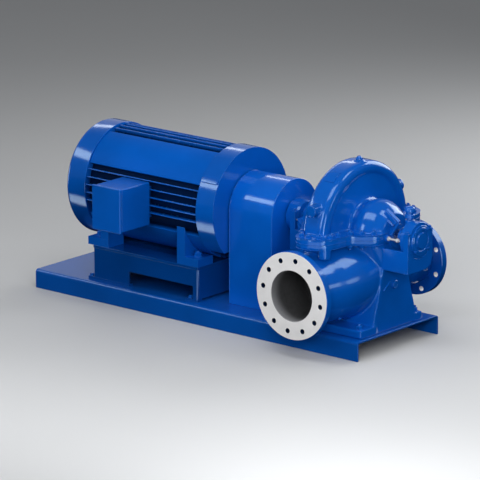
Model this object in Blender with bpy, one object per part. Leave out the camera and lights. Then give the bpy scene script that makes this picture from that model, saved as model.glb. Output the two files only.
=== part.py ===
"""Split case pump set: double suction pump, coupling guard and motor on one bent-plate base.

Metres, +Z up. +X runs along the shaft from the motor to the pump, and the suction flange faces -Y.
Every piece is modelled about the middle of the base on the floor. One empty then carries them all,
so that the origin of the part is the middle of its outline on the floor.
"""
import math

import bmesh
import bpy
from mathutils import Matrix, Vector

# overall
GAP = 0.0003                           # clearance between pieces that touch
AXIS_Z = 0.497                         # shaft centre above the floor
SMOOTH_ANGLE = math.radians(35)

# base: a plate bent down along both long sides, open at its ends
BASE_L, BASE_W, BASE_H, BASE_T, BASE_FOLD = 1.85, 0.562, 0.086, 0.008, 0.014

# riser under the motor
RISER_X0, RISER_X1 = -0.613, -0.003
RISER_Y, RISER_TOP = 0.238, 0.243
RISER_FLANGE, RISER_PLATE, RISER_LID = 0.010, 0.010, 0.012
RISER_WINDOW_X = (-0.405, -0.030)
RISER_WINDOW_TOP = 0.156
RISER_TAB_L, RISER_TAB_OUT = 0.085, 0.030

# motor
FRAME_X0, FRAME_X1 = -0.643, 0.003
FRAME_BODY_R, FRAME_FIN_R = 0.226, 0.252
FIN_PITCH, FIN_WIDTH = math.radians(8.2), 0.0065
FIN_RAISE = 0.6                        # upward shift of the side fins, in pitches
PANEL_FROM, PANEL_TO = math.radians(27.5), math.radians(69.5)
FAN_COVER_X0, FAN_COVER_R = -0.757, 0.258
SHIELD_X1, SHIELD_R = 0.103, 0.258
SHIELD_FLAT_Z = 0.314
BOX_X, BOX_Y, BOX_Z = (-0.425, -0.260), (-0.455, -0.2525), (0.392, 0.594)
BOX_PAD_X, BOX_PAD_Z = (-0.405, -0.280), (0.425, 0.565)
LUG_ANGLE, LUG_HALF_W, LUG_DEPTH = math.radians(33), 0.011, 0.006
FOOT_L, FOOT_T, FOOT_Y_IN, LEG_T = 0.120, 0.036, 0.136, 0.045
DRIVE_FOOT_X0 = FRAME_X1 - FOOT_L - 0.004

# coupling guard
GUARD_X0, GUARD_X1, GUARD_R, GUARD_PLATE = 0.1085, 0.352, 0.1575, 0.004

# pump: middle of the casing and its profile about the shaft, as distance along the shaft and radius
PUMP_X = 0.685
SPLIT_GAP = GAP / 2
VOLUTE = ((0.0, 0.297), (0.030, 0.297), (0.045, 0.2915), (0.056, 0.280), (0.062, 0.264),
          (0.061, 0.251), (0.055, 0.244), (0.056, 0.200), (0.058, 0.160), (0.064, 0.135), (0.072, 0.127))
SUCTION_DOME = ((0.085, 0.132), (0.105, 0.140), (0.125, 0.143), (0.140, 0.1415), (0.155, 0.137),
                (0.170, 0.130), (0.185, 0.122), (0.200, 0.111), (0.215, 0.100), (0.220, 0.092))
SHAFT_R, SHAFT_BORE_R, SHAFT_BORE_DEPTH = 0.030, 0.040, 0.05
SHAFT_INBOARD, SHAFT_OUTBOARD = (0.4323, 0.5047), (0.8653, 0.9467)
SPLIT_T = 0.023
# outline of the split flange from the pump's middle, as (x, y): the lobe over each nozzle, then the waist
SPLIT_LOBE = ((0.0, 0.366), (0.040, 0.360), (0.068, 0.348), (0.092, 0.328), (0.108, 0.298), (0.114, 0.260))
SPLIT_LOBE_INBOARD = ((-0.028, 0.358), (-0.046, 0.338), (-0.060, 0.305), (-0.074, 0.270))
SPLIT_WAIST = ((0.117, 0.212), (0.134, 0.188), (0.160, 0.166), (0.200, 0.136), (0.217, 0.118))
LUG_Y, LUG_Z, LUG_R = 0.307, 0.625, 0.026
PLATE_ANGLES, PLATE_X, PLATE_T = (math.radians(117), math.radians(128)), (-0.022, 0.025), 0.0035
TOP_BOSS_X, TOP_BOSS_Z, TOP_BOSS_R = 0.704, 0.800, 0.022
FLANGE_BOSS, FLANGE_BOSS_R = (0.765, -0.309, 0.432), 0.028
NOZZLE_Z = 0.280
SUCTION_FACE_Y, SUCTION_R, SUCTION_T, SUCTION_BORE = -0.431, 0.1925, 0.031, 0.110
SUCTION_PCR, SUCTION_HOLES, SUCTION_PHASE = 0.157, 12, math.radians(22.5)
DISCHARGE_FACE_Y, DISCHARGE_R, DISCHARGE_T, DISCHARGE_BORE = 0.433, 0.168, 0.034, 0.090
DISCHARGE_PCR, DISCHARGE_HOLES, DISCHARGE_PHASE = 0.1445, 8, math.radians(22.5)
BOLT_HOLE_R = 0.0114
BORE_DEPTH = 0.22
# nozzle bodies as ellipses across Y, as (y, centre z, half width, half height)
FRONT_NOZZLE = ((SUCTION_FACE_Y + SUCTION_T + GAP, 0.280, 0.138, 0.138), (-0.37, 0.280, 0.142, 0.140),
                (-0.31, 0.284, 0.160, 0.150), (-0.24, 0.292, 0.188, 0.164), (-0.15, 0.302, 0.208, 0.178),
                (-0.05, 0.312, 0.214, 0.186), (0.06, 0.312, 0.206, 0.186))
REAR_NOZZLE = ((0.0, 0.305, 0.17, 0.17), (0.12, 0.300, 0.160, 0.165), (0.22, 0.290, 0.138, 0.148),
               (0.30, 0.282, 0.120, 0.125), (DISCHARGE_FACE_Y - DISCHARGE_T - GAP, 0.280, 0.114, 0.114))
PEDESTAL_X = (0.465, 0.905)
PEDESTAL_SIDE = ((0.148, 0.118), (0.141, 0.150), (0.133, 0.180), (0.121, 0.215), (0.111, 0.250),
                 (0.101, 0.290), (0.092, 0.330), (0.085, 0.366))
DRAIN_YZ = (-0.005, 0.281)
FOOT_PAD_X, FOOT_PAD_FRONT, FOOT_PAD_REAR, FOOT_PAD_TOP = (0.462, 0.908), -0.238, 0.187, 0.122

# shoulder that narrows from the casing to the bracket, as (distance from the pump's middle, half width
# and height at the top, half width and height at the bottom)
SHOULDER = ((0.095, 0.150, 0.470, 0.120, 0.330), (0.187, 0.125, 0.470, 0.086, 0.345),
            (0.220, 0.085, 0.457, 0.080, 0.362))

# bearing brackets: an open trough, then a post bored for the housing
BRACKET_Y, BRACKET_Z0, BRACKET_WALL, BRACKET_CORNER = 0.085, 0.362, 0.014, 0.055
BRACKET_ROOT = 0.19                    # distance of the bracket's start from the middle of the pump
TROUGH_TOP, POST_TOP = 0.457, 0.537
OUTBOARD_POST, INBOARD_POST = (1.012, 1.038), (0.420, 0.392)
OUTBOARD_HOUSING = ((0.947, 0.045), (0.967, 0.045), (0.967, 0.052), (0.984, 0.052), (0.984, 0.079),
                    (1.038, 0.079))
INBOARD_HOUSING = ((0.3565, 0.073), (0.410, 0.073), (0.420, 0.067), (0.420, 0.045), (0.432, 0.045))
BREATHER_X, BREATHER_BOSS_TOP, BREATHER_BOSS_R = 0.980, 0.578, 0.021
INBOARD_GLAND_X, OUTBOARD_GLAND_X = 0.4517, 0.9053
GLAND_R, GLAND_T, GLAND_EAR_Y, GLAND_EAR_R = 0.052, 0.013, 0.066, 0.016
COVER_R, COVER_T = 0.066, 0.012
COVER_END_X = OUTBOARD_POST[1] + GAP + COVER_T


# helpers
def material(name, colour, roughness, metallic=0.0):
    mat = bpy.data.materials.new(name)
    mat.use_nodes = True
    shader = mat.node_tree.nodes["Principled BSDF"]
    shader.inputs["Base Color"].default_value = (*colour, 1.0)
    shader.inputs["Roughness"].default_value = roughness
    shader.inputs["Metallic"].default_value = metallic
    return mat


BLUE = (0.004, 0.075, 0.42)


def paint(name):
    return material(name, BLUE, 0.28)


def steel(name):
    return material(name, (0.62, 0.63, 0.64), 0.3, 1.0)


def make_object(name, bm, mat):
    """Turns a bmesh into a scene object with faces pointing out and round faces smooth."""
    bmesh.ops.remove_doubles(bm, verts=bm.verts[:], dist=1e-6)
    bmesh.ops.recalc_face_normals(bm, faces=bm.faces[:])
    mesh = bpy.data.meshes.new(name)
    bm.to_mesh(mesh)
    bm.free()
    mesh.materials.append(mat)
    obj = bpy.data.objects.new(name, mesh)
    bpy.context.collection.objects.link(obj)
    mesh.shade_smooth()
    mesh.set_sharp_from_angle(angle=SMOOTH_ANGLE)
    return obj


def bmesh_prism(outline, lo, hi, axis):
    """Extrudes a closed outline along X, Y or Z. The outline holds (y, z), (x, z) or (x, y)."""
    place = {"X": lambda a, b: (lo, a, b), "Y": lambda a, b: (a, lo, b), "Z": lambda a, b: (a, b, lo)}[axis]
    step = {"X": (hi - lo, 0, 0), "Y": (0, hi - lo, 0), "Z": (0, 0, hi - lo)}[axis]
    bm = bmesh.new()
    face = bm.faces.new([bm.verts.new(place(*p)) for p in outline])
    top = bmesh.ops.extrude_face_region(bm, geom=[face])["geom"]
    bmesh.ops.translate(bm, vec=step, verts=[v for v in top if isinstance(v, bmesh.types.BMVert)])
    return bm


def prism(name, outline, lo, hi, axis, mat):
    return make_object(name, bmesh_prism(outline, lo, hi, axis), mat)


def box(name, x, y, z, mat):
    return prism(name, [(y[0], z[0]), (y[1], z[0]), (y[1], z[1]), (y[0], z[1])], x[0], x[1], "X", mat)


def bmesh_loft(rings):
    """Joins closed rings of points into one solid with flat ends."""
    bm = bmesh.new()
    loops = [[bm.verts.new(p) for p in ring] for ring in rings]
    for a, b in zip(loops, loops[1:]):
        for i in range(len(a)):
            j = (i + 1) % len(a)
            bm.faces.new((a[i], a[j], b[j], b[i]))
    bm.faces.new(loops[0])
    bm.faces.new(loops[-1])
    return bm


def loft(name, rings, mat):
    return make_object(name, bmesh_loft(rings), mat)


def lathe(name, profile, centre, axis, mat, steps=40):
    """Turns (distance, radius) points about a line through centre along X, Y or Z. The ends are flat."""
    turn = {"X": Matrix.Identity(4), "Y": Matrix.Rotation(math.pi / 2, 4, "Z"),
            "Z": Matrix.Rotation(-math.pi / 2, 4, "Y")}[axis]
    angles = [2 * math.pi * i / steps for i in range(steps)]
    bm = bmesh_loft([[(d, r * math.cos(a), r * math.sin(a)) for a in angles] for d, r in profile])
    bmesh.ops.transform(bm, matrix=Matrix.Translation(centre) @ turn, verts=bm.verts[:])
    return make_object(name, bm, mat)


def cylinder(name, centre, radius, length, axis, mat, steps=32):
    """A plain cylinder that starts at centre and runs along the axis."""
    return lathe(name, ((0, radius), (length, radius)), centre, axis, mat, steps)


def combine(target, others, operation="UNION"):
    """Applies a Boolean with each of the other objects, which are then removed."""
    for other in others:
        mod = target.modifiers.new(operation.lower(), "BOOLEAN")
        mod.operation = operation
        mod.object = other
        graph = bpy.context.evaluated_depsgraph_get()
        mesh = bpy.data.meshes.new_from_object(target.evaluated_get(graph))
        target.modifiers.remove(mod)
        target.data = mesh
        bpy.data.objects.remove(other)
    mesh = target.data
    mesh.name = target.name
    while len(mesh.materials) > 1:
        mesh.materials.pop()
    mesh.shade_smooth()
    mesh.set_sharp_from_angle(angle=SMOOTH_ANGLE)
    return target


def arc(cy, cz, radius, start, end, steps):
    """Points of an arc, with both its ends."""
    return [(cy + radius * math.cos(start + (end - start) * i / steps),
             cz + radius * math.sin(start + (end - start) * i / steps)) for i in range(steps + 1)]


def mirrored(half):
    """Closes an outline given as its half at +Y, by repeating it at -Y."""
    return list(half) + [(-a, b) for a, b in reversed(half) if abs(a) > 1e-9]


# base and riser
def base_plate():
    w, t, r = BASE_W / 2, BASE_T, BASE_FOLD
    outer = [(w, 0.0)] + arc(w - r, BASE_H - r, r, 0.0, math.pi / 2, 4)
    inner = arc(w - r, BASE_H - r, r - t, math.pi / 2, 0.0, 4) + [(w - t, 0.0)]
    outline = outer + [(-a, b) for a, b in reversed(outer)] + [(-a, b) for a, b in reversed(inner)] + inner
    return prism("base_plate", outline, -BASE_L / 2, BASE_L / 2, "X", paint("base_plate"))


def riser_rail(name, side):
    """One long side of the riser: a plate with a foot tab at each end, and a window in the front one."""
    mat = paint(name)
    z0, z1 = BASE_H + GAP + RISER_FLANGE, RISER_TOP - RISER_LID - GAP
    wx0, wx1 = RISER_WINDOW_X
    window = [(wx0, z0), (wx0, RISER_WINDOW_TOP), (wx1, RISER_WINDOW_TOP), (wx1, z0)] if side < 0 else []
    web = [(RISER_X0, z0), *window, (RISER_X1, z0), (RISER_X1, z1), (RISER_X0, z1)]
    y_out, y_in = side * RISER_Y, side * (RISER_Y - RISER_PLATE)
    rail = prism(name, web, min(y_out, y_in), max(y_out, y_in), "Y", mat)
    feet = []
    for x0, x1 in ((RISER_X0 - RISER_TAB_OUT, wx0), (wx1 - RISER_TAB_L / 2, RISER_X1)):
        y = sorted((side * (RISER_Y + GAP), side * (RISER_Y - 3 * RISER_PLATE)))
        feet.append(box("foot", (x0, x1), y, (BASE_H + GAP, z0 + GAP), mat))
    return combine(rail, feet)


def riser_end(name, x0):
    y = RISER_Y - RISER_PLATE - GAP
    z = (BASE_H + GAP + RISER_FLANGE + GAP + GAP, RISER_TOP - RISER_LID - GAP)
    return box(name, (x0, x0 + RISER_PLATE), (-y, y), z, paint(name))


def riser_lid():
    z = (RISER_TOP - RISER_LID, RISER_TOP)
    return box("riser_top_plate", (RISER_X0, RISER_X1), (-RISER_Y, RISER_Y), z, paint("riser_top_plate"))


# motor
def frame_outline():
    """Cross-section of the finned frame: groups of fins with smooth panels on the diagonals."""
    def fin(angle):
        half_tip = FIN_WIDTH / 2 / FRAME_FIN_R
        half_root = FIN_WIDTH / 2 / FRAME_BODY_R
        return [(FRAME_BODY_R, angle - half_root), (FRAME_FIN_R, angle - half_tip),
                (FRAME_FIN_R, angle + half_tip), (FRAME_BODY_R, angle + half_root)]

    def panel(start, end):
        steps = 5
        arc_points = [(FRAME_FIN_R, start + (end - start) * i / steps) for i in range(steps + 1)]
        return [(FRAME_BODY_R, start)] + arc_points + [(FRAME_BODY_R, end)]

    quarter = math.pi / 2
    polar = []
    for side in range(4):
        middle = side * quarter
        offsets = (-2, -1, 0, 1, 2) if side % 2 == 0 else (-1.5, -0.5, 0.5, 1.5)
        raised = (FIN_RAISE, 0, -FIN_RAISE, 0)[side]
        for k in (offset + raised for offset in offsets):
            polar += fin(middle + k * FIN_PITCH)
        if side % 2 == 0:
            polar += panel(middle + PANEL_FROM, middle + PANEL_TO)
        else:
            polar += panel(middle + quarter - PANEL_TO, middle + quarter - PANEL_FROM)
    return [(r * math.cos(a), AXIS_Z + r * math.sin(a)) for r, a in polar]


def motor_frame():
    mat = paint("motor_frame")
    frame = prism("motor_frame", frame_outline(), FRAME_X0, FRAME_X1, "X", mat)
    pad = box("pad", BOX_PAD_X, (BOX_Y[1] + GAP, -FRAME_BODY_R + 0.03), BOX_PAD_Z, mat)
    return combine(frame, [pad])


def fan_cover():
    length = FRAME_X0 - GAP - FAN_COVER_X0
    round_r = 0.018
    corner = [(round_r - round_r * math.cos(a), FAN_COVER_R - round_r + round_r * math.sin(a))
              for a in (i * math.pi / 8 for i in range(5))]
    profile = corner + [(length, FAN_COVER_R)]
    return lathe("motor_fan_cover", profile, (FAN_COVER_X0, 0, AXIS_Z), "X", paint("motor_fan_cover"), 48)


def drive_end_shield():
    mat = paint("motor_drive_end_shield")
    x0 = FRAME_X1 + GAP
    length = SHIELD_X1 - x0
    profile = ((0, SHIELD_R), (length - 0.004, SHIELD_R), (length, SHIELD_R - 0.004))
    shield = lathe("motor_drive_end_shield", profile, (x0, 0, AXIS_Z), "X", mat, 48)
    low = box("flat", (x0 - 0.01, SHIELD_X1 + 0.01), (-SHIELD_R, SHIELD_R), (0.1, SHIELD_FLAT_Z), mat)
    return combine(shield, [low], "DIFFERENCE")


def shield_lug():
    """Small cast pad across the drive-end shield, high on its front side."""
    centre = Vector((0, -math.cos(LUG_ANGLE), math.sin(LUG_ANGLE)))
    along = Vector((0, math.sin(LUG_ANGLE), math.cos(LUG_ANGLE)))
    ring = []
    for s, d in ((-LUG_HALF_W, GAP), (LUG_HALF_W, GAP), (LUG_HALF_W, LUG_DEPTH), (-LUG_HALF_W, LUG_DEPTH)):
        p = centre * (SHIELD_R + d) + along * s
        ring.append((p.y, AXIS_Z + p.z))
    name = "motor_shield_lug"
    return prism(name, ring, FRAME_X1 + 0.004, SHIELD_X1 - 0.006, "X", paint(name))


def terminal_box():
    obj = box("motor_terminal_box", BOX_X, BOX_Y, BOX_Z, paint("motor_terminal_box"))
    bevel = obj.modifiers.new("edges", "BEVEL")
    bevel.width = 0.005
    bevel.segments = 2
    return obj


def motor_foot(name, x0, leg_x0, side):
    """A foot pad with a leg that rises to the side of the frame."""
    mat = paint(name)
    z0, z1 = RISER_TOP + GAP, RISER_TOP + FOOT_T
    r = FRAME_FIN_R + GAP
    y = sorted((side * RISER_Y, side * FOOT_Y_IN))
    pad = box(name, (x0, x0 + FOOT_L), y, (z0, z1), mat)
    y_out = RISER_Y - GAP
    start = math.acos(y_out / r)
    end = math.acos((FOOT_Y_IN + GAP) / r)
    clear_r = r / math.cos((end - start) / 12)
    under = [(side * clear_r * math.cos(a), AXIS_Z - clear_r * math.sin(a))
             for a in (start + (end - start) * i / 6 for i in range(7))]
    outline = [(side * y_out, z1 - GAP)] + under + [(side * (FOOT_Y_IN + GAP), z1 - GAP)]
    leg = prism("leg", outline, leg_x0, leg_x0 + LEG_T, "X", mat)
    return combine(pad, [leg])


# coupling guard
def guard_outline(radius, floor):
    return [(-radius, floor)] + arc(0, AXIS_Z, radius, math.pi, 0.0, 24) + [(radius, floor)]


def guard_hood():
    return prism("coupling_guard_hood", guard_outline(GUARD_R, BASE_H + GAP), GUARD_X0 + GUARD_PLATE + GAP,
                 GUARD_X1 - GUARD_PLATE - GAP, "X", paint("coupling_guard_hood"))


def guard_plate(name, x0):
    return prism(name, guard_outline(GUARD_R, BASE_H + GAP), x0, x0 + GUARD_PLATE, "X", paint(name))


# pump casing
def casing_profile():
    """The whole turned profile of the casing, from the motor end to the outer end."""
    half = list(VOLUTE) + list(SUCTION_DOME)
    return [(-d, r) for d, r in reversed(half[1:])] + half


def split_outline():
    rear = list(SPLIT_LOBE + SPLIT_WAIST)
    front = [(x, -y) for x, y in reversed(rear)]
    inboard_front = [(x, -y) for x, y in SPLIT_LOBE_INBOARD]
    inboard_front += [(-x, -y) for x, y in SPLIT_WAIST]
    inboard_rear = [(-x, y) for x, y in reversed(rear[1:])]
    return [(PUMP_X + x, y) for x, y in rear + front + inboard_front + inboard_rear]


def half_space(name, upper):
    far = 0.6
    z = (AXIS_Z - far, AXIS_Z + SPLIT_GAP) if upper else (AXIS_Z - SPLIT_GAP, AXIS_Z + far)
    return box(name, (PUMP_X - far, PUMP_X + far), (-far, far), z, None)


def shaft_bore():
    half = SUCTION_DOME[-1][0] + 0.01
    starts = (PUMP_X - half, PUMP_X + half - SHAFT_BORE_DEPTH)
    return [cylinder("bore", (x, 0, AXIS_Z), SHAFT_BORE_R, SHAFT_BORE_DEPTH, "X", None, 24) for x in starts]


def lifting_lug(side, mat):
    """A round lug that stands out level from the rim of the upper casing."""
    start = 0.25
    profile = ((side * start, LUG_R), (side * (LUG_Y - 0.004), LUG_R), (side * LUG_Y, LUG_R - 0.004))
    return lathe("lug", profile, (PUMP_X, 0, LUG_Z), "Y", mat, 24)


def upper_casing():
    mat = paint("upper_casing")
    centre = (PUMP_X, 0, AXIS_Z)
    shell = lathe("upper_casing", casing_profile(), centre, "X", mat, 48)
    flange = prism("flange", split_outline(), AXIS_Z - 0.01, AXIS_Z + SPLIT_T, "Z", mat)
    start = AXIS_Z + 0.28
    boss = cylinder("boss", (TOP_BOSS_X, 0, start), TOP_BOSS_R, TOP_BOSS_Z - start, "Z", mat, 24)
    combine(shell, [flange, boss, lifting_lug(-1, mat), lifting_lug(1, mat)])
    return combine(shell, [half_space("below", True)] + shaft_bore(), "DIFFERENCE")


def nozzle(name, stations, mat, steps=36):
    """Lofts ellipses along Y. A station is (y, centre z, half width, half height)."""
    rings = []
    for y, z, a, b in stations:
        rings.append([(PUMP_X + a * math.cos(t), y, z + b * math.sin(t))
                      for t in (2 * math.pi * i / steps for i in range(steps))])
    return loft(name, rings, mat)


def pedestal(mat):
    """The waisted stand under the casing, with a foot pad along each side."""
    foot = BASE_H + GAP
    half = [(0.0, foot), (PEDESTAL_SIDE[0][0], foot)] + list(PEDESTAL_SIDE)
    stand = prism("pedestal", mirrored(half), *PEDESTAL_X, "X", mat)
    inner = PEDESTAL_SIDE[0][0] - 0.02
    pads = [box("pad", FOOT_PAD_X, y, (foot, FOOT_PAD_TOP), mat)
            for y in ((FOOT_PAD_FRONT, -inner), (inner, FOOT_PAD_REAR))]
    return combine(stand, pads)


def shoulder(side, mat):
    rings = []
    for d, w1, z1, w0, z0 in SHOULDER:
        section = ((-w1, z1), (-w0, z0), (w0, z0), (w1, z1))
        rings.append([(PUMP_X + side * d, y, z) for y, z in section])
    return loft("shoulder", rings, mat)


def bracket(inner_x, post, bore_r, mat):
    """A trough from the casing, square at the front and round at the rear, that ends in a bored post."""
    def outline(y, z0, z1, r):
        return [(-y, z1), (-y, z0)] + arc(y - r, z0 + r, r, -math.pi / 2, 0.0, 5) + [(y, z1)]
    start, end = post
    arm = prism("bracket", outline(BRACKET_Y, BRACKET_Z0, POST_TOP, BRACKET_CORNER), inner_x, end, "X", mat)
    past = inner_x - math.copysign(0.01, end - start)
    inside = outline(BRACKET_Y - BRACKET_WALL, BRACKET_Z0 + BRACKET_WALL, POST_TOP + 0.1,
                     BRACKET_CORNER - BRACKET_WALL)
    trough = prism("trough", inside, past, start, "X", None)
    notch = box("notch", (past, start), (-0.1, 0.1), (TROUGH_TOP, POST_TOP + 0.1), None)
    x0, length = min(start, end) - 0.01, abs(end - start) + 0.02
    bore = cylinder("bore", (x0, 0, AXIS_Z), bore_r, length, "X", None, 40)
    return combine(arm, [trough, notch, bore], "DIFFERENCE")


def lower_casing():
    mat = paint("lower_casing")
    centre = (PUMP_X, 0, AXIS_Z)
    casing = lathe("lower_casing", casing_profile(), centre, "X", mat, 48)
    flange = prism("flange", split_outline(), AXIS_Z - SPLIT_T, AXIS_Z + 0.01, "Z", mat)
    boss = cylinder("boss", FLANGE_BOSS, FLANGE_BOSS_R, AXIS_Z - FLANGE_BOSS[2] - 0.01, "Z", mat, 20)
    front, rear = nozzle("front", FRONT_NOZZLE, mat), nozzle("rear", REAR_NOZZLE, mat)
    inner = PUMP_X + BRACKET_ROOT
    outboard = bracket(inner, OUTBOARD_POST, OUTBOARD_HOUSING[-1][1] + GAP, mat)
    inboard = bracket(2 * PUMP_X - inner, INBOARD_POST, INBOARD_HOUSING[0][1] + GAP, mat)
    combine(casing, [flange, boss, pedestal(mat), shoulder(-1, mat), shoulder(1, mat), front, rear])
    bores = [half_space("above", False)] + shaft_bore()
    bores.append(cylinder("suction", (PUMP_X, SUCTION_FACE_Y - 0.01, NOZZLE_Z), SUCTION_BORE, BORE_DEPTH + 0.01,
                          "Y", None, 36))
    bores.append(cylinder("discharge", (PUMP_X, DISCHARGE_FACE_Y - BORE_DEPTH, NOZZLE_Z), DISCHARGE_BORE,
                          BORE_DEPTH + 0.01, "Y", None, 36))
    combine(casing, bores, "DIFFERENCE")
    return combine(casing, [outboard, inboard])


def pipe_flange(name, face_y, radius, thick, bore, pcr, count, phase, mat):
    """A round flange with its bore and bolt holes. Its face is at face_y, the thickness runs inwards."""
    inward = thick if face_y < 0 else -thick
    y0 = min(face_y, face_y + inward)
    ring = cylinder(name, (PUMP_X, y0, NOZZLE_Z), radius, thick, "Y", mat, 48)
    tools = [cylinder("bore", (PUMP_X, y0 - 0.01, NOZZLE_Z), bore, thick + 0.02, "Y", None, 36)]
    for i in range(count):
        a = phase + 2 * math.pi * i / count
        at = (PUMP_X + pcr * math.cos(a), y0 - 0.01, NOZZLE_Z + pcr * math.sin(a))
        tools.append(cylinder("hole", at, BOLT_HOLE_R, thick + 0.02, "Y", None, 12))
    return combine(ring, tools, "DIFFERENCE")


def suction_flange():
    return pipe_flange("suction_flange", SUCTION_FACE_Y, SUCTION_R, SUCTION_T, SUCTION_BORE, SUCTION_PCR,
                       SUCTION_HOLES, SUCTION_PHASE, paint("suction_flange"))


def discharge_flange():
    return pipe_flange("discharge_flange", DISCHARGE_FACE_Y, DISCHARGE_R, DISCHARGE_T, DISCHARGE_BORE,
                       DISCHARGE_PCR, DISCHARGE_HOLES, DISCHARGE_PHASE, paint("discharge_flange"))


# shaft, glands, bearings
def bearing_housing(name, stations, boss_top=None):
    """A turned housing, given as (x, radius), with an optional flat boss on top for the breather."""
    mat = paint(name)
    body = lathe(name, stations, (0, 0, AXIS_Z), "X", mat, 40)
    if boss_top is None:
        return body
    z0 = AXIS_Z + 0.05
    boss = cylinder("boss", (BREATHER_X, 0, z0), BREATHER_BOSS_R, boss_top - z0, "Z", mat, 20)
    return combine(body, [boss])


def bearing_cover(name, x0, radius):
    profile = ((0, radius), (0.006, radius), (0.008, radius - 0.003), (0.008, radius * 0.80),
               (COVER_T, radius * 0.76))
    return lathe(name, profile, (x0, 0, AXIS_Z), "X", paint(name), 36)


def pump_shaft(name, span):
    x0, x1 = span
    return cylinder(name, (x0, 0, AXIS_Z), SHAFT_R, x1 - x0, "X", steel(name), 28)


def gland(name, x0):
    """An oval gland plate with a ring round the shaft, split ears at both sides."""
    mat = paint(name)
    ring = cylinder(name, (x0, 0, AXIS_Z), GLAND_R, GLAND_T, "X", mat, 32)
    ears = []
    for side in (-1, 1):
        ears.append(cylinder("ear", (x0, side * GLAND_EAR_Y, AXIS_Z), GLAND_EAR_R, GLAND_T, "X", mat, 16))
        y = sorted((0, side * GLAND_EAR_Y))
        ears.append(box("web", (x0, x0 + GLAND_T), y, (AXIS_Z - GLAND_EAR_R, AXIS_Z + GLAND_EAR_R), mat))
    combine(ring, ears)
    hole = cylinder("hole", (x0 - 0.01, 0, AXIS_Z), SHAFT_R + GAP, GLAND_T + 0.02, "X", None, 28)
    return combine(ring, [hole], "DIFFERENCE")


def breather():
    profile = ((0, 0.014), (0.008, 0.014), (0.008, 0.021), (0.024, 0.021), (0.026, 0.018), (0.033, 0.018),
               (0.035, 0.022), (0.052, 0.021), (0.060, 0.013))
    return lathe("bearing_breather", profile, (BREATHER_X, 0.0, BREATHER_BOSS_TOP + GAP), "Z",
                 paint("bearing_breather"), 20)


def top_plug():
    profile = ((0, 0.016), (0.006, 0.015), (0.008, 0.010), (0.014, 0.007))
    place = (TOP_BOSS_X, 0, TOP_BOSS_Z + GAP)
    return lathe("casing_top_plug", profile, place, "Z", paint("casing_top_plug"), 20)


def drain_plug():
    profile = ((0, 0.019), (0.006, 0.018), (0.006, 0.012), (0.016, 0.011))
    return lathe("casing_drain_plug", profile, (PEDESTAL_X[1] + GAP, *DRAIN_YZ), "X",
                 paint("casing_drain_plug"), 18)


def nameplate():
    """A small blank plate on the rim of the upper casing."""
    r0, r1 = VOLUTE[0][1] + GAP, VOLUTE[0][1] + PLATE_T
    a0, a1 = PLATE_ANGLES
    steps = 4
    outer = [(r1 * math.cos(a0 + (a1 - a0) * i / steps), AXIS_Z + r1 * math.sin(a0 + (a1 - a0) * i / steps))
             for i in range(steps + 1)]
    inner = [(r0 / math.cos((a1 - a0) / steps / 2) * math.cos(a0 + (a1 - a0) * i / steps),
              AXIS_Z + r0 / math.cos((a1 - a0) / steps / 2) * math.sin(a0 + (a1 - a0) * i / steps))
             for i in reversed(range(steps + 1))]
    return prism("casing_nameplate", outer + inner, PUMP_X + PLATE_X[0], PUMP_X + PLATE_X[1], "X",
                 steel("casing_nameplate"))


def main():
    for obj in list(bpy.data.objects):
        bpy.data.objects.remove(obj, do_unlink=True)
    pieces = [
        base_plate(),
        riser_rail("riser_front_rail", -1), riser_rail("riser_rear_rail", 1),
        riser_end("riser_end_plate_fan_side", RISER_X0),
        riser_end("riser_end_plate_pump_side", RISER_X1 - RISER_PLATE),
        riser_lid(),
        motor_frame(), fan_cover(), drive_end_shield(), shield_lug(), terminal_box(),
    ]
    ends = (("fan_end", FRAME_X0, FRAME_X0 + FOOT_L - LEG_T), ("drive_end", DRIVE_FOOT_X0, DRIVE_FOOT_X0))
    for end, x0, leg in ends:
        for where, side in (("front", -1), ("rear", 1)):
            pieces.append(motor_foot(f"motor_foot_{where}_{end}", x0, leg, side))
    pieces += [
        guard_hood(),
        guard_plate("coupling_guard_motor_plate", GUARD_X0),
        guard_plate("coupling_guard_pump_plate", GUARD_X1 - GUARD_PLATE),
        upper_casing(), lower_casing(), suction_flange(), discharge_flange(),
        bearing_housing("inboard_bearing_housing", INBOARD_HOUSING),
        bearing_housing("outboard_bearing_housing", OUTBOARD_HOUSING, BREATHER_BOSS_TOP),
        bearing_cover("outboard_bearing_cover", OUTBOARD_POST[1] + GAP, COVER_R),
        pump_shaft("pump_shaft_inboard", SHAFT_INBOARD), pump_shaft("pump_shaft_outboard", SHAFT_OUTBOARD),
        gland("inboard_gland", INBOARD_GLAND_X), gland("outboard_gland", OUTBOARD_GLAND_X),
        breather(), top_plug(), drain_plug(), nameplate(),
    ]
    carrier = bpy.data.objects.new("pump_set", None)
    carrier.location = ((BASE_L / 2 - COVER_END_X) / 2, -(BOX_Y[0] + DISCHARGE_FACE_Y) / 2, 0.0)
    bpy.context.collection.objects.link(carrier)
    for obj in pieces:
        obj.parent = carrier


main()
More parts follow.
